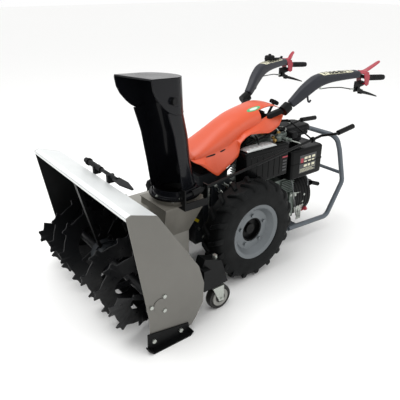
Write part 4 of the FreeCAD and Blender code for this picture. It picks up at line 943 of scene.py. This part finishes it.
def make_red_levers():
    """Bail levers: two clamp cheeks beside the tube, a saddle over it and one pressed blade with a rounded
    end."""
    for hand, side, reach in ((1, "left", 120), (-1, "right", 40)):
        x, y, z = 269.0, 778.0, 906.0
        shape = Shape()
        cheek = [(y - 18, z - 36), (y - 34, z + 22), (y - 22, z + 34), (y + 2, z + 26), (y + 14, z + 2),
                 (y + 12, z - 38), (y - 4, z - 44)]
        saddle = [(y - 34, z + 22), (y - 22, z + 34), (y + 4, z + 27), (y + 2, z + 21), (y - 20, z + 27),
                  (y - 28, z + 18)]
        for low, wide, outline in ((22.2, 4.6, cheek), (-26.8, 4.6, cheek), (-22.5, 45, saddle)):
            shape.slab([(x + low, p, q) for p, q in outline], (wide, 0, 0))
        path = eased([(y - 18, z + 31), (y + 8, z + 32), (y + reach * 0.55, z + 50), (y + reach, z + 69)], 40)
        t = np.linspace(0, 1, 40)
        wide = (19 - 8 * t) * np.sqrt(np.clip(1 - ((t - 0.5) / 0.502) ** 12, 0.02, 1))
        slope = unit(np.gradient(path, axis=0))
        a = np.linspace(0, 2 * np.pi, 20, endpoint=False)
        edge = np.sign(np.cos(a)) * np.abs(np.cos(a)) ** 0.5, np.sign(np.sin(a)) * np.abs(np.sin(a)) ** 0.8
        px = x + wide[:, None] * edge[0]
        py = path[:, :1] - slope[:, 1:] * edge[1] * 3.6
        pz = path[:, 1:] + slope[:, :1] * edge[1] * 3.6
        shape.rings(np.stack([px, py, pz], -1))
        shape.rings(tube([(x - 26, y - 6, z - 34), (x + 26, y - 6, z - 34)], 4, 16))
        shape.points = [p * (hand, 1, 1) for p in shape.points]
        piece("red_bail_" + side, shape, red_nylon, f"red_lever_{side}_body",
              ["red_lever_" + side],
              bevel=0.8, sharp=35)


def make_caster_hubs():
    """Pale pressed hubs on both sides of each caster wheel, with an axle nut."""
    for hand, body in ((1, "caster_wheel_left_body"), (-1, "caster_wheel_right_body")):
        shape = Shape()
        for face in (1, -1):
            shape.rings(spun([(0.3, 19.5), (10, 19.5), (12, 18.2), (30, 17.4), (37, 19.4), (41, 19.4),
                              (42.5, 17),
                              (42.5, 12), (0.3, 12)], (395 * hand, -296, 60), (face, 0, 0), 48))
        side = "left" if hand > 0 else "right"
        piece("caster_hub_" + side, shape, grey_nylon, body, sharp=30)


def make_ring_teeth():
    """Gear teeth round the chute's flange: 76 small blocks between the radii 114 and 119 mm."""
    shape = Shape()
    for k in range(76):
        a = 2 * np.pi * k / 76
        out, flat = np.array([math.cos(a), math.sin(a), 0]), np.array([-math.sin(a), math.cos(a), 0])
        foot = np.array([CHUTE_AXIS[0], CHUTE_AXIS[1], 498.4]) + out * 114
        corners = [foot - flat * 3.2, foot + flat * 3.2, foot + out * 5 + flat * 1.8,
                   foot + out * 5 - flat * 1.8]
        shape.slab(corners, (0, 0, 5.0))
    piece("chute_gear_teeth", shape, powder_black, "chute_body", sharp=30)


# ---- floor, light and camera ----
def make_stage():
    """Pale floor, a white surround and two large soft lamps."""
    floor_mesh = bpy.data.meshes.new("floor")
    reach = 30.0
    floor_mesh.from_pydata([(-reach, -reach, 0), (reach, -reach, 0), (reach, reach, 0), (-reach, reach, 0)],
                           [],
                           [(0, 1, 2, 3)])
    floor = bpy.data.objects.new("floor", floor_mesh)
    bpy.context.scene.collection.objects.link(floor)
    paper = bpy.data.materials.new("white_paper_floor")
    paper.use_nodes = True
    paper.node_tree.nodes["Principled BSDF"].inputs["Base Color"].default_value = linear("#f9f9f8")
    paper.node_tree.nodes["Principled BSDF"].inputs["Roughness"].default_value = 0.9
    floor_mesh.materials.append(paper)
    world = bpy.data.worlds.new("surround")
    bpy.context.scene.world = world
    world.use_nodes = True
    world.node_tree.nodes["Background"].inputs[0].default_value = (1.0, 1.0, 1.0, 1.0)
    world.node_tree.nodes["Background"].inputs[1].default_value = 1.0
    for name, where, size, power in (("key", (-0.6, -1.2, 3.6), 2.6, 70), ("side", (3.2, 1.4, 2.2), 1.8, 16)):
        lamp = bpy.data.lights.new(name, "AREA")
        lamp.shape, lamp.size, lamp.energy = "SQUARE", size, power
        holder = bpy.data.objects.new(name, lamp)
        direction = unit(np.array(where) - (0.0, 0.0, 0.4))
        holder.matrix_world = looking(where, direction)
        bpy.context.scene.collection.objects.link(holder)


def looking(where, back):
    """Placement at a point with local +Z along back and local X level."""
    back = unit(np.asarray(back, float))
    right = unit(np.cross((0, 0, 1), back))
    up = np.cross(back, right)
    return Matrix([[right[i], up[i], back[i], where[i]] for i in range(3)] + [[0, 0, 0, 1]])


def make_camera():
    """Camera at the three-quarter view from the front left, 25 degrees above the horizon."""
    lens = bpy.data.cameras.new("camera")
    lens.lens, lens.sensor_width, lens.clip_end = 42.01, 36.0, 100.0
    camera = bpy.data.objects.new("camera", lens)
    turn, rise = math.radians(52.80), math.radians(24.965)
    back = (math.sin(turn) * math.cos(rise), -math.cos(turn) * math.cos(rise), math.sin(rise))
    camera.matrix_world = looking((1.7377, -1.4782, 1.3541), back)
    bpy.context.scene.collection.objects.link(camera)
    bpy.context.scene.camera = camera


make_hood()
make_badge()
make_chute()
make_deflector()
make_auger()
make_tyre(1, "wheel_left", "tyre_left")
make_tyre(-1, "wheel_right", "tyre_right")
make_arm_covers()
make_grips()
make_tank()
make_side_box()
make_air_cleaner()
make_engine_top()
make_engine_side()
make_linkage()
make_handle_details()
make_red_levers()
make_caster_hubs()
make_ring_teeth()
make_stage()
make_camera()
bpy.context.scene.view_settings.view_transform = "Standard"
